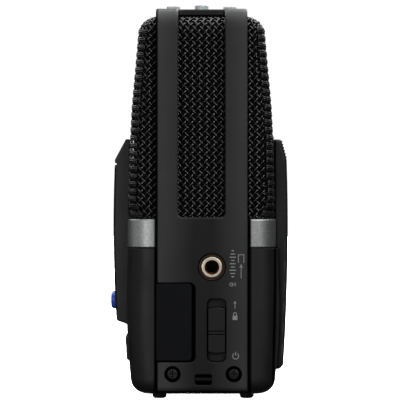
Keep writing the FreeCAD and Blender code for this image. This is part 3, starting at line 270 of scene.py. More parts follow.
def surface(name, dark, light, rough=(0.4, 0.5), mottle=60.0, grain=3000.0, bump=0.05, metallic=0.0,
            specular=0.5, coat=0.0, coat_rough=0.1, edge=None, edge_width=0.25, edge_keep=0.7,
            streak=None, streak_bump=0.0, dust=0.0, transmission=0.0, ior=1.5, sheen=0.0,
            weave=0.0, stripes=None, scatter=0.0, frame_shade=False, seam_shade=False, crevice_shade=0.0,
            outer_shade=0.0, hole_shades=(), rear_joint_shade=False):
    """One procedural finish: mottled colour, grain, painted shade (along the side frame, in joints, holes
    and crevices), rounded edges with a tone of their own, streaks and dust.
    """
    material = bpy.data.materials.new(name)
    material.use_nodes = True
    tree = material.node_tree
    shader = tree.nodes["Principled BSDF"]
    shader.inputs["Metallic"].default_value = metallic
    shader.inputs["Specular IOR Level"].default_value = specular
    shader.inputs["Coat Weight"].default_value = coat
    shader.inputs["Coat Roughness"].default_value = coat_rough
    shader.inputs["Transmission Weight"].default_value = transmission
    shader.inputs["IOR"].default_value = ior
    shader.inputs["Sheen Weight"].default_value = sheen
    if scatter:
        shader.inputs["Subsurface Weight"].default_value = scatter
        shader.inputs["Subsurface Scale"].default_value = SCATTER_DEPTH
    place = add_node(tree, "ShaderNodeTexCoord").outputs["Object"]

    cloud = noise_node(tree, place, mottle, 4.0)
    colour = mix_colour(tree, remap(tree, cloud, *NOISE_SPAN, 0, 1), dark, light)
    height = noise_node(tree, place, grain, 2.0)
    rough_level = remap(tree, noise_node(tree, place, mottle * ROUGH_FINER, 5.0), *NOISE_SPAN, *rough)
    if stripes:
        colour = add_stripes(tree, place, colour, stripes)
    if weave:
        cell = add_node(tree, "ShaderNodeTexVoronoi", in_Scale=weave)
        tree.links.new(place, cell.inputs["Vector"])
        height = math_node(tree, "ADD", height, cell.outputs["Distance"])
    if streak:
        lines = noise_node(tree, place, grain * STREAK_COARSER, 3.0, streak)
        uneven = remap(tree, lines, *STREAK_SPAN, -STREAK_ROUGH, STREAK_ROUGH)
        rough_level = math_node(tree, "ADD", rough_level, uneven)
        height = math_node(tree, "ADD", height, math_node(tree, "MULTIPLY", lines, streak_bump))
        colour = mix_colour(tree, remap(tree, lines, *STREAK_SPAN, 0.0, STREAK_TINT), colour, light)

    shade_masks = []
    if frame_shade:
        colour = add_frame_shade(tree, place, colour, shade_masks)
    if seam_shade:
        colour = add_seam_shade(tree, place, colour, shade_masks)
    if rear_joint_shade:
        colour = add_rear_joint_shade(tree, place, colour, shade_masks, outer_shade)
    for hole_shade in hole_shades:
        colour = add_hole_shade(tree, place, colour, shade_masks, hole_shade)
    if crevice_shade:
        colour = add_crevice_shade(tree, colour, shade_masks, crevice_shade)
    if shade_masks:
        deepest = shade_masks[0]
        for gap in shade_masks[1:]:
            deepest = math_node(tree, "MAXIMUM", deepest, gap)
        shine = remap(tree, deepest, 0.0, 1.0, specular, SHADE_SPECULAR)
        tree.links.new(shine, shader.inputs["Specular IOR Level"])

    relief = add_node(tree, "ShaderNodeBump", in_Strength=bump, in_Distance=RELIEF_DEPTH)
    tree.links.new(height, relief.inputs["Height"])
    if edge:
        colour, rounded = add_edge_tone(tree, place, colour, edge, edge_width, edge_keep)
        tree.links.new(rounded, relief.inputs["Normal"])
    if dust:
        specks = remap(tree, noise_node(tree, place, DUST_SCALE, 2.0, None, 0.7), *DUST_SPAN, 0.0, dust)
        colour = mix_colour(tree, specks, colour, DUST_TONE)
    tree.links.new(colour, shader.inputs["Base Color"])
    tree.links.new(rough_level, shader.inputs["Roughness"])
    tree.links.new(relief.outputs["Normal"], shader.inputs["Normal"])
    return material


FINISHES = {
    # the side frame's dark edge tone is painted shade on its rounded edges
    "frame_black": surface(
        "frame_black_finish", (0.036, 0.0362, 0.037), (0.045, 0.045, 0.046), (0.40, 0.50), mottle=45,
        specular=0.25, grain=4200, bump=0.16, frame_shade=True, hole_shades=FRAME_HOLES, crevice_shade=0.7,
        edge=(0.004, 0.004, 0.005), edge_width=0.55, edge_keep=0.9, dust=0.10),
    "shell_black": surface(
        "shell_black_finish", (0.009, 0.0092, 0.010), (0.014, 0.014, 0.0155), (0.44, 0.56), mottle=60,
        specular=0.35, grain=3600, bump=0.20, seam_shade=True, rear_joint_shade=True, outer_shade=OUTER_SHADE,
        crevice_shade=1.2, edge=(0.05, 0.05, 0.055), edge_width=0.2, edge_keep=0.35, dust=0.10),
    # the rear cover: a darker copy of the shell's finish, its extra darkness painted shade, with the
    # painted shade of the rear joint
    "cover_black": surface(
        "cover_black_finish", (0.006, 0.0062, 0.007), (0.010, 0.010, 0.0115), (0.40, 0.52), mottle=60,
        specular=0.30, grain=3600, bump=0.20, rear_joint_shade=True, crevice_shade=1.2,
        edge=(0.05, 0.05, 0.055), edge_width=0.2, edge_keep=0.35, dust=0.10),
    "panel_black": surface(
        "panel_black_finish", (0.015, 0.0155, 0.017), (0.022, 0.022, 0.024), (0.38, 0.50), mottle=70,
        specular=0.35, grain=3600, bump=0.16, edge=(0.06, 0.06, 0.065), edge_width=0.2,
        edge_keep=0.4, dust=0.10),
    "tray_black": surface(
        "tray_black_finish", (0.010, 0.010, 0.011), (0.017, 0.017, 0.018), (0.5, 0.62), mottle=80,
        grain=2600, bump=0.25, edge=(0.05, 0.05, 0.05)),
    "plate_gloss": surface(
        "plate_gloss_finish", (0.006, 0.0062, 0.007), (0.009, 0.009, 0.010), (0.08, 0.16), mottle=50,
        grain=1500, bump=0.01, specular=0.3, coat=0.35, coat_rough=0.05, dust=0.12),
    "lens_clear": surface(
        "lens_clear_finish", (0.62, 0.64, 0.66), (0.70, 0.72, 0.73), (0.03, 0.07), mottle=40,
        grain=900, bump=0.005, transmission=1.0, ior=1.49),
    "display_grey": surface(
        "display_grey_finish", (0.16, 0.19, 0.16), (0.20, 0.23, 0.19), (0.30, 0.36), mottle=60,
        grain=2200, bump=0.03, coat=0.5, stripes=("X", 0.55 * MM, (0.145, 0.17, 0.145), 0.12)),
    "ring_silver": surface(
        "ring_silver_finish", (0.37, 0.375, 0.38), (0.57, 0.575, 0.58), (0.40, 0.52), mottle=1500,
        grain=5200, bump=0.28, metallic=1.0, seam_shade=True, streak=(1.0, 1.0, 6.0), streak_bump=0.5,
        edge=(0.75, 0.75, 0.76), edge_width=0.2, edge_keep=0.5),
    "mesh_black": surface(
        "mesh_black_finish", (0.002, 0.002, 0.0024), (0.004, 0.004, 0.0046), (0.20, 0.30), mottle=300,
        grain=3800, bump=0.14, specular=0.9, dust=0.12),
    # the folded wires: a lighter copy of the mesh's finish, the extra lightness painted light for the dim
    # corners, with painted shade in its crevices
    "mesh_pressed": surface(
        "mesh_pressed_finish", (0.007, 0.007, 0.0075), (0.012, 0.012, 0.013), (0.34, 0.44), mottle=300,
        grain=3800, bump=0.10, specular=0.7, crevice_shade=0.8, dust=0.08),
    "foam_black": surface(
        "foam_black_finish", (0.003, 0.003, 0.003), (0.006, 0.006, 0.006), (0.9, 1.0), mottle=400,
        grain=1800, bump=0.8, weave=1800, specular=0.1, sheen=0.1),
    "bracket_grey": surface(
        "bracket_grey_finish", (0.10, 0.10, 0.105), (0.14, 0.14, 0.145), (0.5, 0.6), mottle=80,
        grain=2600, bump=0.2, edge=(0.2, 0.2, 0.2)),
    "capsule_silver": surface(
        "capsule_silver_finish", (0.55, 0.55, 0.56), (0.66, 0.66, 0.67), (0.22, 0.34), mottle=200,
        grain=4000, bump=0.08, metallic=1.0, streak=(1.0, 1.0, 12.0), streak_bump=0.4,
        edge=(0.8, 0.8, 0.8)),
    "board_green": surface(
        "board_green_finish", (0.012, 0.070, 0.026), (0.022, 0.105, 0.040), (0.28, 0.40), mottle=240,
        grain=2200, bump=0.12, coat=0.4, stripes=("Z", 1.7 * MM, (0.030, 0.135, 0.055), 0.16),
        edge=(0.30, 0.25, 0.12)),
    "chip_black": surface(
        "chip_black_finish", (0.012, 0.012, 0.013), (0.022, 0.022, 0.023), (0.45, 0.55), mottle=150,
        grain=3600, bump=0.25, edge=(0.06, 0.06, 0.06)),
    "ribbon_amber": surface(
        "ribbon_amber_finish", (0.30, 0.13, 0.03), (0.40, 0.19, 0.05), (0.25, 0.35), mottle=120,
        grain=2600, bump=0.08, stripes=("X", 0.7 * MM, (0.50, 0.28, 0.10), 0.45)),
    "screw_steel": surface(
        "screw_steel_finish", (0.018, 0.018, 0.019), (0.040, 0.040, 0.042), (0.28, 0.40), mottle=500,
        grain=4200, bump=0.12, metallic=0.8, crevice_shade=0.45, edge=(0.22, 0.22, 0.22), edge_width=0.15,
        edge_keep=0.8),
    "contact_nickel": surface(
        "contact_nickel_finish", (0.55, 0.53, 0.50), (0.68, 0.66, 0.62), (0.18, 0.30), mottle=260,
        grain=3000, bump=0.06, metallic=1.0, streak=(8.0, 1.0, 1.0), streak_bump=0.3),
    "bush_gold": surface(
        "bush_gold_finish", (0.88, 0.77, 0.61), (0.96, 0.87, 0.73), (0.32, 0.42), mottle=300,
        grain=2600, bump=0.03, metallic=1.0, hole_shades=[(JACK_AXIS, JACK_THROAT, THROAT_SHADE_BROWN)]),
    # dark bronze that stands for the gold of the bush in painted shade, with painted shade in its crevices
    "collar_bronze": surface(
        "collar_bronze_finish", (0.050, 0.024, 0.012), (0.085, 0.044, 0.024), (0.35, 0.45), mottle=300,
        grain=2600, bump=0.05, metallic=0.6, crevice_shade=0.4),
    "socket_black": surface(
        "socket_black_finish", (0.006, 0.0055, 0.005), (0.012, 0.011, 0.010), (0.40, 0.52), mottle=150,
        grain=3600, bump=0.18, edge=(0.05, 0.045, 0.04)),
    "rubber_black": surface(
        "rubber_black_finish", (0.005, 0.005, 0.006), (0.009, 0.009, 0.010), (0.55, 0.68), mottle=120,
        grain=2800, bump=0.30, specular=0.3, sheen=0.1, dust=0.18),
    "button_blue": surface(
        "button_blue_finish", (0.036, 0.110, 0.74), (0.064, 0.170, 0.98), (0.16, 0.24), mottle=200,
        grain=2600, bump=0.03, coat=0.6, scatter=0.2, edge=(0.10, 0.18, 0.45), edge_width=0.2,
        edge_keep=0.6),
    "mode_clear": surface(
        "mode_clear_finish", (0.53, 0.57, 0.59), (0.65, 0.70, 0.72), (0.22, 0.32), mottle=220,
        grain=2600, bump=0.04, coat=0.5, scatter=0.35, edge=(0.70, 0.78, 0.82), edge_width=0.25,
        edge_keep=0.6),
    "key_gloss": surface(
        "key_gloss_finish", (0.006, 0.006, 0.007), (0.010, 0.010, 0.011), (0.10, 0.18), mottle=90,
        grain=2600, bump=0.03, coat=0.5, edge=(0.08, 0.08, 0.085), edge_width=0.2, edge_keep=0.5,
        dust=0.1),
    "knob_black": surface(
        "knob_black_finish", (0.005, 0.005, 0.0055), (0.009, 0.009, 0.0095), (0.40, 0.52), mottle=120,
        specular=0.30, grain=3600, bump=0.20, crevice_shade=0.5, edge=(0.06, 0.06, 0.065), edge_width=0.2,
        edge_keep=0.5, dust=0.08),
    "cell_wrap": surface(
        "cell_wrap_finish", (0.030, 0.032, 0.036), (0.045, 0.047, 0.052), (0.22, 0.30), mottle=60,
        grain=2000, bump=0.04, coat=0.4, stripes=("Z", 60.0 * MM, (0.42, 0.22, 0.06), 0.34)),
    "speaker_black": surface(
        "speaker_black_finish", (0.014, 0.014, 0.015), (0.026, 0.026, 0.027), (0.6, 0.75), mottle=160,
        grain=2600, bump=0.35, weave=2400),
    "card_grey": surface(
        "card_grey_finish", (0.020, 0.022, 0.026), (0.032, 0.034, 0.040), (0.35, 0.45), mottle=80,
        grain=3000, bump=0.10, edge=(0.09, 0.09, 0.10)),
    "flap_black": surface(
        "flap_black_finish", (0.0030, 0.0033, 0.0046), (0.0046, 0.0050, 0.0066), (0.42, 0.52), mottle=70,
        specular=0.12, grain=3200, bump=0.14, edge=(0.03, 0.03, 0.034), edge_width=0.2, edge_keep=0.3,
        dust=0.10),
    "floor_grey": surface(
        "floor_grey_finish", (0.010, 0.010, 0.011), (0.015, 0.015, 0.016), (0.40, 0.50), mottle=120,
        specular=0.25, grain=3600, bump=0.10, crevice_shade=0.8),
    "mark_grey": surface(
        "mark_grey_finish", (0.26, 0.26, 0.26), (0.34, 0.34, 0.34), (0.45, 0.55), mottle=900,
        grain=4200, bump=0.05),
    "floor_pale": surface(
        "floor_pale_finish", (0.84, 0.84, 0.84), (0.87, 0.87, 0.87), (0.7, 0.8), mottle=2.0,
        grain=300, bump=0.01, specular=0.1),
}

# the strap bar takes the flap's near-black: partly its own black, partly painted shade inside its slot
OWN_FINISH = {"card_cover": "flap_black", "strap_bar": "flap_black", "battery_cover": "cover_black"}
for node_name, node in nodes.items():
    for held in node.material_slots:
        packed = held.material.name.split(".")[0] if held.material else "shell_black"
        held.material = FINISHES[OWN_FINISH.get(node_name, packed)]


# ================================================================ mesh helpers
def make_piece(name, verts, faces, finish, body, smooth=True):
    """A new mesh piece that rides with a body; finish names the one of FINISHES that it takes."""
    mesh = bpy.data.meshes.new(name)
    mesh.from_pydata(verts, [], faces)
    mesh.update()
    piece = bpy.data.objects.new(name, mesh)
    scene.collection.objects.link(piece)
    mesh.materials.append(FINISHES[finish])
    if smooth:
        mesh.shade_smooth()
    if body:
        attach(piece, body)
    return piece


# ================================================================ woven head, in millimetres from the datum
WIRE_R = 0.28
WIRE_RISE = 0.33                   # how far each wire rises over the next
WIRE_SIDES = 6
WIRE_COUNT = 79                    # wires of one lay round the head
STEPS_PER_CROSSING = 3
CELL_TALL = 2.55                   # height of one mesh

grille_low, grille_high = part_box("mic_grille")
HEAD_HALF_X = grille_high.x / MM
HEAD_BOTTOM = above_datum(grille_low.z) - 0.15     # the weave starts inside the ring
HEAD_TOP = above_datum(grille_high.z)
# heights and the half depth at each
HEAD_SECTIONS = [(59.5, 25.0), (85.0, 24.2), (97.0, 23.6), (110.0, 22.4), (127.4, 20.9)]
HEAD_CORNER = 8.0                  # radius of the upright corners at the ring
TIGHT_CORNER = 4.6                 # the weave turns more sharply once it is clear of the ring
TIGHT_SPAN = (60.5, 66.0)
CROWN = 5.4                        # radius of the bend below the top
CROWN_INSET = 0.6                  # share of the inset that the crown loses
INSET = WIRE_R + WIRE_RISE         # the outermost wire surface is the head's outer face
MID_CROWN = CROWN - CROWN_INSET * INSET
CROWN_START = HEAD_TOP - INSET - MID_CROWN
WALL = CROWN_START - HEAD_BOTTOM
WALL_AND_BEND = WALL + MID_CROWN * math.pi / 2
QUARTER = HEAD_SECTIONS[0][1] + HEAD_HALF_X - HEAD_CORNER + HEAD_CORNER * (math.pi / 2 - 1)
CELL_WIDE = 4 * QUARTER / WIRE_COUNT
WIRES_PAST_BEND = 2.2              # how far the wires run on under the top of the side frame

panel_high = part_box("control_panel")[1]
cover_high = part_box("battery_cover")[1]
HATCH = (19.5, 13.5)               # half width and half depth of the opening in the top
# half width and top of the openings behind the panel and behind the rear cover
PANEL_CLEAR = (panel_high.x / MM + 0.2, above_datum(panel_high.z) + 0.3)
COVER_CLEAR = (cover_high.x / MM + 1.1, above_datum(cover_high.z) + 1.0)

CORNER_SINK = 1.0                  # the weave lies behind the folds at the upright corners
CORNER_FROM = 14.0                 # from this turn, in degrees
CORNER_RUN = 10.0
CORNER_FADE = 8.0

FOLD_R = 0.31
FOLD_LIFTS = (0.20, 0.36, 0.30)    # the wires of one stack from the lowest, and how far each stands out
FOLD_GAP = 0.52                    # from one wire of a stack to the next
FOLD_PHASE = 0.45                  # where a stack starts in its mesh
FOLD_START = 14.0                  # the folds lie past this place along a quarter of the head
FOLD_STEP = 0.5
FOLD_STEPS = 32
FOLD_PIVOT = 24.0                  # they slope about this place
FOLD_SLOPE = 0.10
FOLD_TURNS = (22.0, 89.0)          # and show between these turns of the side, in degrees
FOLDS_PAST_WALL = 1.5

LINING_COLUMNS = 160
LINING_ROWS = 60
LINING_GAP = 0.1                   # between the wires and the foam
LINING_THICK = 0.9
LINING_PAST_BEND = 1.6
LINING_OVERLAP = 2.4               # how far the lining reaches in behind the panel and the cover


def clamp(value):
    """The value, held between 0 and 1."""
    return min(max(value, 0.0), 1.0)


def head_half_y(z):
    """Half the head's depth at a height."""
    for (low_z, low_y), (high_z, high_y) in zip(HEAD_SECTIONS, HEAD_SECTIONS[1:]):
        if z <= high_z:
            return low_y + (high_y - low_y) * (z - low_z) / (high_z - low_z)
    return HEAD_SECTIONS[-1][1]


def head_point(around, up):
    """Point on the middle of the woven head and its outward normal, in millimetres from the datum."""
    if up <= WALL:
        tilt, inward, z = 0.0, 0.0, HEAD_BOTTOM + up
    elif up <= WALL_AND_BEND:
        tilt = (up - WALL) / MID_CROWN
        inward = MID_CROWN * (1 - math.cos(tilt))
        z = CROWN_START + MID_CROWN * math.sin(tilt)
    else:
        tilt = math.pi / 2
        inward = MID_CROWN + up - WALL_AND_BEND
        z = CROWN_START + MID_CROWN
    share = clamp((z - TIGHT_SPAN[0]) / (TIGHT_SPAN[1] - TIGHT_SPAN[0]))
    corner = HEAD_CORNER + (TIGHT_CORNER - HEAD_CORNER) * share * share * (3 - 2 * share)
    flat_x = HEAD_HALF_X - corner
    flat_y = head_half_y(z) - corner
    corner -= INSET
    around = around % (4 * QUARTER)
    quarter = int(around // QUARTER)
    t = around - quarter * QUARTER
    if quarter % 2:
        t = QUARTER - t
    sign_x = 1 if quarter in (0, 3) else -1
    sign_y = 1 if quarter in (0, 1) else -1
    arc = corner * math.pi / 2
    if t <= flat_y:
        x, y, turn = flat_x + corner, t, 0.0
    else:
        rest = (t - flat_y) * (arc + flat_x) / (QUARTER - flat_y)
        if rest <= arc:
            turn = rest / corner
            x = flat_x + corner * math.cos(turn)
            y = flat_y + corner * math.sin(turn)
        else:
            turn = math.pi / 2
            x = flat_x - (rest - arc)
            y = flat_y + corner
    out = Vector((sign_x * math.cos(turn), sign_y * math.sin(turn), 0.0))
    point = Vector((sign_x * x, sign_y * y, z)) - out * inward
    return point, out * math.cos(tilt) + Vector((0, 0, math.sin(tilt)))


def head_open(point, overlap=0.0):
    """True where the head is cut away: the hatch, behind the panel and behind the cover."""
    if abs(point.x) < HATCH[0] and abs(point.y) < HATCH[1]:
        return True
    if point.y < 0 and abs(point.x) < PANEL_CLEAR[0] - overlap and point.z < PANEL_CLEAR[1] - overlap:
        return True
    return point.y > 0 and abs(point.x) < COVER_CLEAR[0] - overlap and point.z < COVER_CLEAR[1] - overlap


def to_world(point):
    """From millimetres past the datum to the shared frame."""
    return (point.x * MM, point.y * MM + MIDDLE_Y, point.z * MM + DATUM_Z)


def turn_of(normal):
    """How far the head's side has turned from facing along X, in degrees."""
    return math.degrees(math.atan2(abs(normal.y), abs(normal.x)))


def corner_share(normal):
    """How far the wires are pressed in at this place: 1 in the upright corners, 0 on the flat sides."""
    turn = turn_of(normal)
    share = clamp((turn - CORNER_FROM) / CORNER_RUN) * min((90.0 - turn) / CORNER_FADE, 1.0)
    return share * (1.0 - max(normal.z, 0.0))


def add_tube(verts, faces, path):
    """A closed round wire along a list of (centre, outward normal, radius)."""
    first = len(verts)
    for index, (centre, normal, radius) in enumerate(path):
        before = path[max(index - 1, 0)][0]
        after = path[min(index + 1, len(path) - 1)][0]
        along = (after - before).normalized()
        side = along.cross(normal).normalized()
        rise = side.cross(along)
        for step in range(WIRE_SIDES):
            turn = 2 * math.pi * step / WIRE_SIDES
            verts.append(to_world(centre + (side * math.cos(turn) + rise * math.sin(turn)) * radius))
    for index in range(len(path) - 1):
        low = first + index * WIRE_SIDES
        high = low + WIRE_SIDES
        for step in range(WIRE_SIDES):
            nxt = (step + 1) % WIRE_SIDES
            faces.append((low + step, high + step, high + nxt, low + nxt))
    last = first + (len(path) - 1) * WIRE_SIDES
    faces.append(tuple(first + step for step in range(WIRE_SIDES)))
    faces.append(tuple(last + step for step in reversed(range(WIRE_SIDES))))


def fold_path(quarter, up, lift):
    """One pressed wire round the upright corner of a quarter of the head, as a path for add_tube."""
    path = []
    fall = 1 if quarter in (0, 3) else -1
    for step in range(FOLD_STEPS):
        t = FOLD_START + step * FOLD_STEP
        around = quarter * QUARTER + (QUARTER - t if quarter % 2 else t)
        toward_back = t if quarter in (0, 1) else -t
        rise = -fall * (toward_back - math.copysign(FOLD_PIVOT, toward_back)) * FOLD_SLOPE
        point, normal = head_point(around, max(up + rise, 0.0))
        if FOLD_TURNS[0] < turn_of(normal) < FOLD_TURNS[1]:
            path.append((point + normal * lift, normal, FOLD_R))
    return path


def corner_folds(name):
    """At the four upright corners the wires are bent flat together: short stacks, one stack to a mesh."""
    verts, faces = [], []
    for shelf in range(int((WALL + FOLDS_PAST_WALL) / CELL_TALL)):
        for line, lift in enumerate(FOLD_LIFTS):
            for quarter in range(4):
                path = fold_path(quarter, (shelf + FOLD_PHASE) * CELL_TALL + line * FOLD_GAP, lift)
                if len(path) > 2:
                    add_tube(verts, faces, path)
    return make_piece(name, verts, faces, "mesh_pressed", "recorder")


def weave(name, lean):
    """All wires of one lay. They lean to the right going up where lean is 1."""
    verts, faces = [], []
    steps = int((WALL_AND_BEND + WIRES_PAST_BEND) / (CELL_TALL / 2 / STEPS_PER_CROSSING))
    for wire in range(WIRE_COUNT):
        path = []
        for step in range(steps + 1):
            crossing = step / STEPS_PER_CROSSING
            around = wire * CELL_WIDE + lean * crossing * CELL_WIDE / 2
            point, normal = head_point(around, crossing * CELL_TALL / 2)
            lift = -lean * math.cos(math.pi * crossing) * WIRE_RISE
            lift -= CORNER_SINK * corner_share(normal)
            if head_open(point):
                if len(path) > 2:
                    add_tube(verts, faces, path)
                path = []
            else:
                path.append((point + normal * lift, normal, WIRE_R))
        if len(path) > 2:
            add_tube(verts, faces, path)
    return make_piece(name, verts, faces, "mesh_black", "recorder")


mesh_left = weave("head_mesh_left_lay", -1)
mesh_right = weave("head_mesh_right_lay", 1)
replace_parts(mesh_left, "mic_grille")
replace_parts(mesh_right, "mic_grille")
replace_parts(corner_folds("head_mesh_corner_folds"), "mic_grille")


def head_lining(name):
    """The black foam right behind the wires: one sheet of even thickness, open where the head is."""
    height = WALL_AND_BEND + LINING_PAST_BEND
    verts, faces, found = [], [], {}
    for row in range(LINING_ROWS + 1):
        for column in range(LINING_COLUMNS):
            around = 4 * QUARTER * column / LINING_COLUMNS
            point, normal = head_point(around, height * row / LINING_ROWS)
            if not head_open(point, LINING_OVERLAP):
                found[row, column] = len(verts)
                verts.append(to_world(point - normal * (INSET + LINING_GAP)))
    for row in range(LINING_ROWS):
        for column in range(LINING_COLUMNS):
            after = (column + 1) % LINING_COLUMNS
            corners = [(row, column), (row, after), (row + 1, after), (row + 1, column)]
            if all(corner in found for corner in corners):
                faces.append([found[corner] for corner in corners])
    sheet = make_piece(name, verts, faces, "foam_black", "recorder")
    thicken = sheet.modifiers.new("thickness", "SOLIDIFY")
    thicken.thickness = LINING_THICK * MM
    thicken.offset = -1.0
    return sheet


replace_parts(head_lining("head_foam"), "foam_liner")


# ================================================================ collars round the two jack bushes, coloured as gold in painted shade
COLLAR_RADII = (3.45, 4.35)
COLLAR_DEPTH = 0.9                 # below the bush's outer end
COLLAR_THICK = 0.25
COLLAR_SIDES = 48


def jack_collar(name, bush, side):
    """A flat ring round a bush; side is 1 on the right and -1 on the left."""
    low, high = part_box(bush)
    end = (high.x if side > 0 else low.x) / MM - side * COLLAR_DEPTH
    verts, faces = [], []
    for step in range(COLLAR_SIDES):
        turn = 2 * math.pi * step / COLLAR_SIDES
        for x in (end, end - side * COLLAR_THICK):
            for radius in COLLAR_RADII:
                verts.append((x * MM, JACK_AXIS[0] + radius * MM * math.cos(turn),
                              JACK_AXIS[1] + radius * MM * math.sin(turn)))
    for step in range(COLLAR_SIDES):
        here, after = 4 * step, 4 * ((step + 1) % COLLAR_SIDES)
        for a, b in ((0, 1), (1, 3), (3, 2), (2, 0)):
            corners = (here + a, here + b, after + b, after + a)
            faces.append(corners if side > 0 else corners[::-1])
    make_piece(name, verts, faces, "collar_bronze", "recorder", smooth=False)


jack_collar("line_in_collar", "line_in_bush", 1)
jack_collar("phones_collar", "phones_bush", -1)


# ================================================================ printed marks, all generic signs, with the switch's grey floor and the painted shade in its grooves
def stroke(points, width, closed=False):
    """A line of one width as flat four-sided pieces with mitred joints."""
    count = len(points)
    rails = []
    for index, (x, y) in enumerate(points):
        before = points[index - 1] if index or closed else None
        after = points[(index + 1) % count] if index < count - 1 or closed else None
        turns = []
        for start, end in ((before, (x, y)), ((x, y), after)):
            if start and end:
                dx, dy = end[0] - start[0], end[1] - start[1]
                size = math.hypot(dx, dy)
                turns.append((-dy / size, dx / size))
        nx, ny = sum(t[0] for t in turns), sum(t[1] for t in turns)
        size = math.hypot(nx, ny)
        nx, ny = nx / size, ny / size
        reach = width / 2 / max(nx * turns[0][0] + ny * turns[0][1], 0.5)
        rails.append(((x + nx * reach, y + ny * reach), (x - nx * reach, y - ny * reach)))
    pairs = zip(rails, rails[1:] + rails[:1] if closed else rails[1:])
    return [[a[0], a[1], b[1], b[0]] for a, b in pairs]


def circle(x, y, radius, start=0.0, end=360.0, steps=28):
    """Points round a circle, or along an arc between two angles."""
    turns = [math.radians(start + (end - start) * i / steps) for i in range(steps + (end - start < 360))]
    return [(x + radius * math.cos(t), y + radius * math.sin(t)) for t in turns]


def bar(x0, y0, x1, y1):
    """A rectangle between two corners, as a list of one polygon."""
    return [[(x0, y0), (x1, y0), (x1, y1), (x0, y1)]]


AXES = {                           # across, up and out of the two faces that carry marks
    "side": (Vector((0, 1, 0)), Vector((0, 0, 1)), Vector((1, 0, 0))),
    "front": (Vector((1, 0, 0)), Vector((0, 0, 1)), Vector((0, -1, 0))),
}
RAY_START = 100 * MM
PRINT_LIFT = 0.03
trees = {}


def stamp(name, body, node_name, facing, polygons, finish="mark_grey", lift=PRINT_LIFT):
    """Thin raised print laid on the face of a CAD piece; polygons are in millimetres from the datum."""
    if node_name not in trees:
        mesh = nodes[node_name].data
        corners = [vertex.co for vertex in mesh.vertices]
        trees[node_name] = BVHTree.FromPolygons(corners, [polygon.vertices for polygon in mesh.polygons])
    right, up, out = AXES[facing]
    origin = Vector((0, MIDDLE_Y if facing == "side" else 0, DATUM_Z))
    verts, faces = [], []
    for polygon in polygons:
        top, low = [], []
        for a, b in polygon:
            start = origin + right * (a * MM) + up * (b * MM) + out * RAY_START
            hit = trees[node_name].ray_cast(start, -out)[0]
            if hit is None:
                raise ValueError(f"{name} leaves {node_name} at {a:.2f}, {b:.2f}")
            top.append(hit + out * (lift * MM))
            low.append(hit - out * (lift * MM))
        area = sum(p[0] * q[1] - q[0] * p[1] for p, q in zip(polygon, polygon[1:] + polygon[:1]))
        turned = right.cross(up).dot(out) * area < 0
        size, first = len(polygon), len(verts)
        if turned:
            top.reverse()
            low.reverse()
        verts += top + low
        faces.append(tuple(first + i for i in range(size)))
        faces.append(tuple(first + size + i for i in reversed(range(size))))
        for i in range(size):
            j = (i + 1) % size
            faces.append((first + i, first + size + i, first + size + j, first + j))
    return make_piece(name, verts, faces, finish, body, smooth=False)


# microphone sign beside the socket, lying on its side
mic_sign = stroke(circle(9.9, 37.6, 0.55), 0.22, closed=True)
mic_sign += bar(9.9, 37.49, 10.9, 37.71)
mic_sign += stroke([(10.9, 37.0), (11.3, 37.3), (11.3, 37.9), (10.9, 38.2)], 0.22)
stamp("mark_microphone", "recorder", "side_frame", "side", mic_sign)

# level bars of different length
LEVELS = [0.9, 1.6, 2.2, 1.4, 1.9, 1.1, 2.0, 1.5, 0.8]
LEVELS_Y = 10.35
LEVELS_BOTTOM = 40.0
LEVEL_PITCH = 1.08
LEVEL_THICK = 0.36
levels = []
for index, size in enumerate(LEVELS):
    low = LEVELS_BOTTOM + index * LEVEL_PITCH
    levels += bar(LEVELS_Y - size / 2, low, LEVELS_Y + size / 2, low + LEVEL_THICK)
stamp("mark_levels", "recorder", "side_frame", "side", levels)

# arrow into a box that is open below
arrow = bar(13.0, 39.6, 13.24, 43.4)
arrow += [[(12.55, 43.2), (13.69, 43.2), (13.12, 44.5)]]
open_box = [(12.5, 45.0), (12.2, 45.0), (12.2, 47.5), (14.04, 47.5), (14.04, 45.0), (13.74, 45.0)]
arrow += stroke(open_box, 0.24)
stamp("mark_input", "recorder", "side_frame", "side", arrow)

# padlock with an arrow above it
lock = bar(10.3, 25.8, 11.9, 27.2)
shackle = [(10.62, 27.2), (10.62, 27.9), (10.85, 28.25), (11.35, 28.25), (11.58, 27.9), (11.58, 27.2)]
lock += stroke(shackle, 0.24)
lock += bar(10.98, 29.6, 11.22, 31.4) + [[(10.6, 31.3), (11.6, 31.3), (11.1, 32.1)]]
stamp("mark_hold", "recorder", "side_frame", "side", lock)

# the grey floor at both ends of the slide switch's opening, clear of the slot for its stem
SWITCH_Y = 4.95
SWITCH_Z = 22.3
FLOOR_OFF = 7.75


def switch_bar(z, half_wide, half_tall):
    """A level bar across the slide switch."""
    return bar(SWITCH_Y - half_wide, z - half_tall, SWITCH_Y + half_wide, z + half_tall)


ends = switch_bar(SWITCH_Z - FLOOR_OFF, 3.2, 3.0) + switch_bar(SWITCH_Z + FLOOR_OFF, 3.2, 3.0)
stamp("switch_floor", "recorder", "rear_shell", "side", ends, "floor_grey")

# painted shade: two black strips laid in the finger grooves across the slide switch
GROOVE_SHADE_LIFT = 0.01
groove_shade_strips = switch_bar(SWITCH_Z - 1.5, 2.2, 0.18) + switch_bar(SWITCH_Z - 0.55, 2.2, 0.18)
stamp("mark_switch_grooves", "switch_knob", "switch_knob", "side", groove_shade_strips, "flap_black", GROOVE_SHADE_LIFT)

# standby sign
power = stroke(circle(11.3, 13.8, 1.0, 125, 415), 0.26) + bar(11.17, 13.9, 11.43, 15.2)
stamp("mark_power", "recorder", "side_frame", "side", power)


# transport signs on the keys, pressed with them
def key_middle(name):
    """X and Z of the middle of a piece, in millimetres from the datum."""
    low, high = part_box(name)
    return (low.x + high.x) / 2 / MM, above_datum((low.z + high.z) / 2)


def shifted(polygons, x, z):
    """The same polygons, moved."""
    return [[(a + x, b + z) for a, b in polygon] for polygon in polygons]


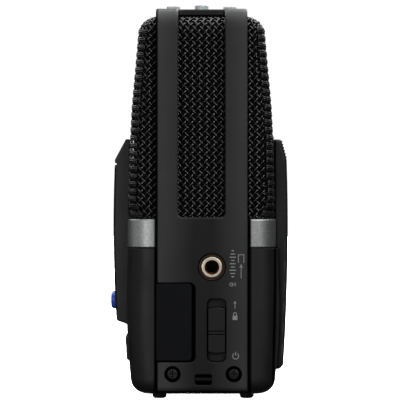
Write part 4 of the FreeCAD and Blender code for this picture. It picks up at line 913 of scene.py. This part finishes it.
TRIANGLE = [(-0.9, -1.1), (1.0, 0.0), (-0.9, 1.1)]
BACKWARD = [[(-a, b) for a, b in reversed(TRIANGLE)]]
CROSS = stroke([(-0.9, -0.9), (0.9, 0.9)], 0.36) + stroke([(-0.9, 0.9), (0.9, -0.9)], 0.36)
SIGNS = {
    "key_rewind": shifted(BACKWARD, -1.0, 0) + shifted(BACKWARD, 1.0, 0),
    "key_play": shifted([TRIANGLE], -1.2, 0) + bar(0.9, -1.1, 1.35, 1.1) + bar(1.8, -1.1, 2.25, 1.1),
    "key_forward": shifted([TRIANGLE], -1.0, 0) + shifted([TRIANGLE], 1.0, 0),
    "key_delete": CROSS,
    "menu_button": bar(-1.1, 0.5, 1.1, 0.75) + bar(-1.1, -0.12, 1.1, 0.13) + bar(-1.1, -0.75, 1.1, -0.5),
    "stop_button": bar(-0.75, -0.75, 0.75, 0.75),
}
for key, sign in SIGNS.items():
    stamp("mark_" + key, key, key, "front", shifted(sign, *key_middle(key)))
record_x, record_z = key_middle("record_button")
ring = shifted(stroke(circle(0, 0, 1.5), 0.3, closed=True), record_x, record_z)
stamp("mark_record_button", "record_button", "record_button", "front", ring)


# ================================================================ light, floor and camera
AIM = (0.0, 0.0, 0.065)            # the middle of the body
FLOOR_SUN_POWER = 18.0
FLOOR_SUN_ANGLE = 120
SKY_HEIGHTS = (0.1, 0.9)           # the studio light grows from nothing to its full strength overhead
SKY_TOP = 0.20
SKY_SIDES = (0.45, 0.95)           # and is stronger beside the recorder than before and behind it
SKY_SIDE_LEVELS = (0.015, 0.13)
BACKDROP = 1.05                    # the white that only the camera sees
FLOOR_HALF = 3.0
CAMERA_PLACE = (0.700, 0.00055, 0.0667)
LENS = 181.7
SENSOR = 36.0


def soft_box(name, place, wide, tall, power):
    """A rectangular light that looks at the body and isn't seen itself."""
    light = bpy.data.lights.new(name, "AREA")
    light.shape = "RECTANGLE"
    light.size, light.size_y, light.energy = wide, tall, power
    holder = bpy.data.objects.new(name, light)
    holder.location = place
    holder.rotation_euler = (Vector(AIM) - Vector(place)).to_track_quat("-Z", "Y").to_euler()
    holder.visible_camera = False
    scene.collection.objects.link(holder)


soft_box("light_top", (0.12, 0.18, 0.75), 0.7, 0.7, 4.3)
soft_box("light_left", (0.95, -0.42, 0.14), 0.5, 0.5, 1.9)
soft_box("light_right", (0.75, 0.50, 0.48), 0.32, 0.32, 2.6)
soft_box("light_side", (0.20, -1.00, 0.16), 0.7, 0.6, 0.6)
soft_box("light_front", (-0.55, -0.55, 0.95), 0.8, 0.8, 9.0)
soft_box("light_behind", (-0.80, 0.40, 0.90), 0.8, 0.8, 9.0)

# a sun that lights nothing but the floor
floor_only = bpy.data.collections.new("floor_only")
floor_light = bpy.data.lights.new("light_floor", "SUN")
floor_light.energy = FLOOR_SUN_POWER
floor_light.angle = math.radians(FLOOR_SUN_ANGLE)
floor_sun = bpy.data.objects.new("light_floor", floor_light)
floor_sun.location = (0, 0, 1)
floor_sun.light_linking.receiver_collection = floor_only
floor_sun.light_linking.blocker_collection = floor_only
scene.collection.objects.link(floor_sun)

# a dim studio round the object, and a plain white backdrop for the camera
world = bpy.data.worlds.new("studio")
scene.world = world
world.use_nodes = True
sky = world.node_tree
sky.nodes.clear()
ahead = add_node(sky, "ShaderNodeTexCoord").outputs["Generated"]
parts = add_node(sky, "ShaderNodeSeparateXYZ")
sky.links.new(ahead, parts.inputs["Vector"])
upper = remap(sky, parts.outputs["Z"], *SKY_HEIGHTS, 0.0, SKY_TOP)
across = math_node(sky, "ABSOLUTE", parts.outputs["X"], 0)
sides = remap(sky, across, *SKY_SIDES, *SKY_SIDE_LEVELS)
glow = add_node(sky, "ShaderNodeBackground", in_Color=(0.97, 0.985, 1.0, 1))
sky.links.new(math_node(sky, "ADD", upper, sides), glow.inputs["Strength"])
plain = add_node(sky, "ShaderNodeBackground", in_Color=(1, 1, 1, 1), in_Strength=BACKDROP)
seen = add_node(sky, "ShaderNodeLightPath").outputs["Is Camera Ray"]
blend_sky = add_node(sky, "ShaderNodeMixShader")
sky.links.new(seen, blend_sky.inputs["Fac"])
sky.links.new(glow.outputs["Background"], blend_sky.inputs[1])
sky.links.new(plain.outputs["Background"], blend_sky.inputs[2])
sky.links.new(blend_sky.outputs["Shader"], add_node(sky, "ShaderNodeOutputWorld").inputs["Surface"])

floor_corners = [(x * FLOOR_HALF, y * FLOOR_HALF, 0) for x, y in ((-1, -1), (1, -1), (1, 1), (-1, 1))]
floor = make_piece("floor", floor_corners, [(0, 1, 2, 3)], "floor_pale", None, smooth=False)
floor.visible_diffuse = False
floor.visible_glossy = False
floor.visible_shadow = False
floor_only.objects.link(floor)

# straight on to the recorder's right side
view = bpy.data.cameras.new("camera")
view.sensor_width = SENSOR
view.lens = LENS
view.clip_start = 0.01
view.clip_end = 20.0
camera = bpy.data.objects.new("camera", view)
camera.location = CAMERA_PLACE
camera.rotation_euler = (math.radians(90), 0, math.radians(90))
scene.collection.objects.link(camera)
scene.camera = camera

scene.view_settings.view_transform = "Standard"
scene.view_settings.look = "None"
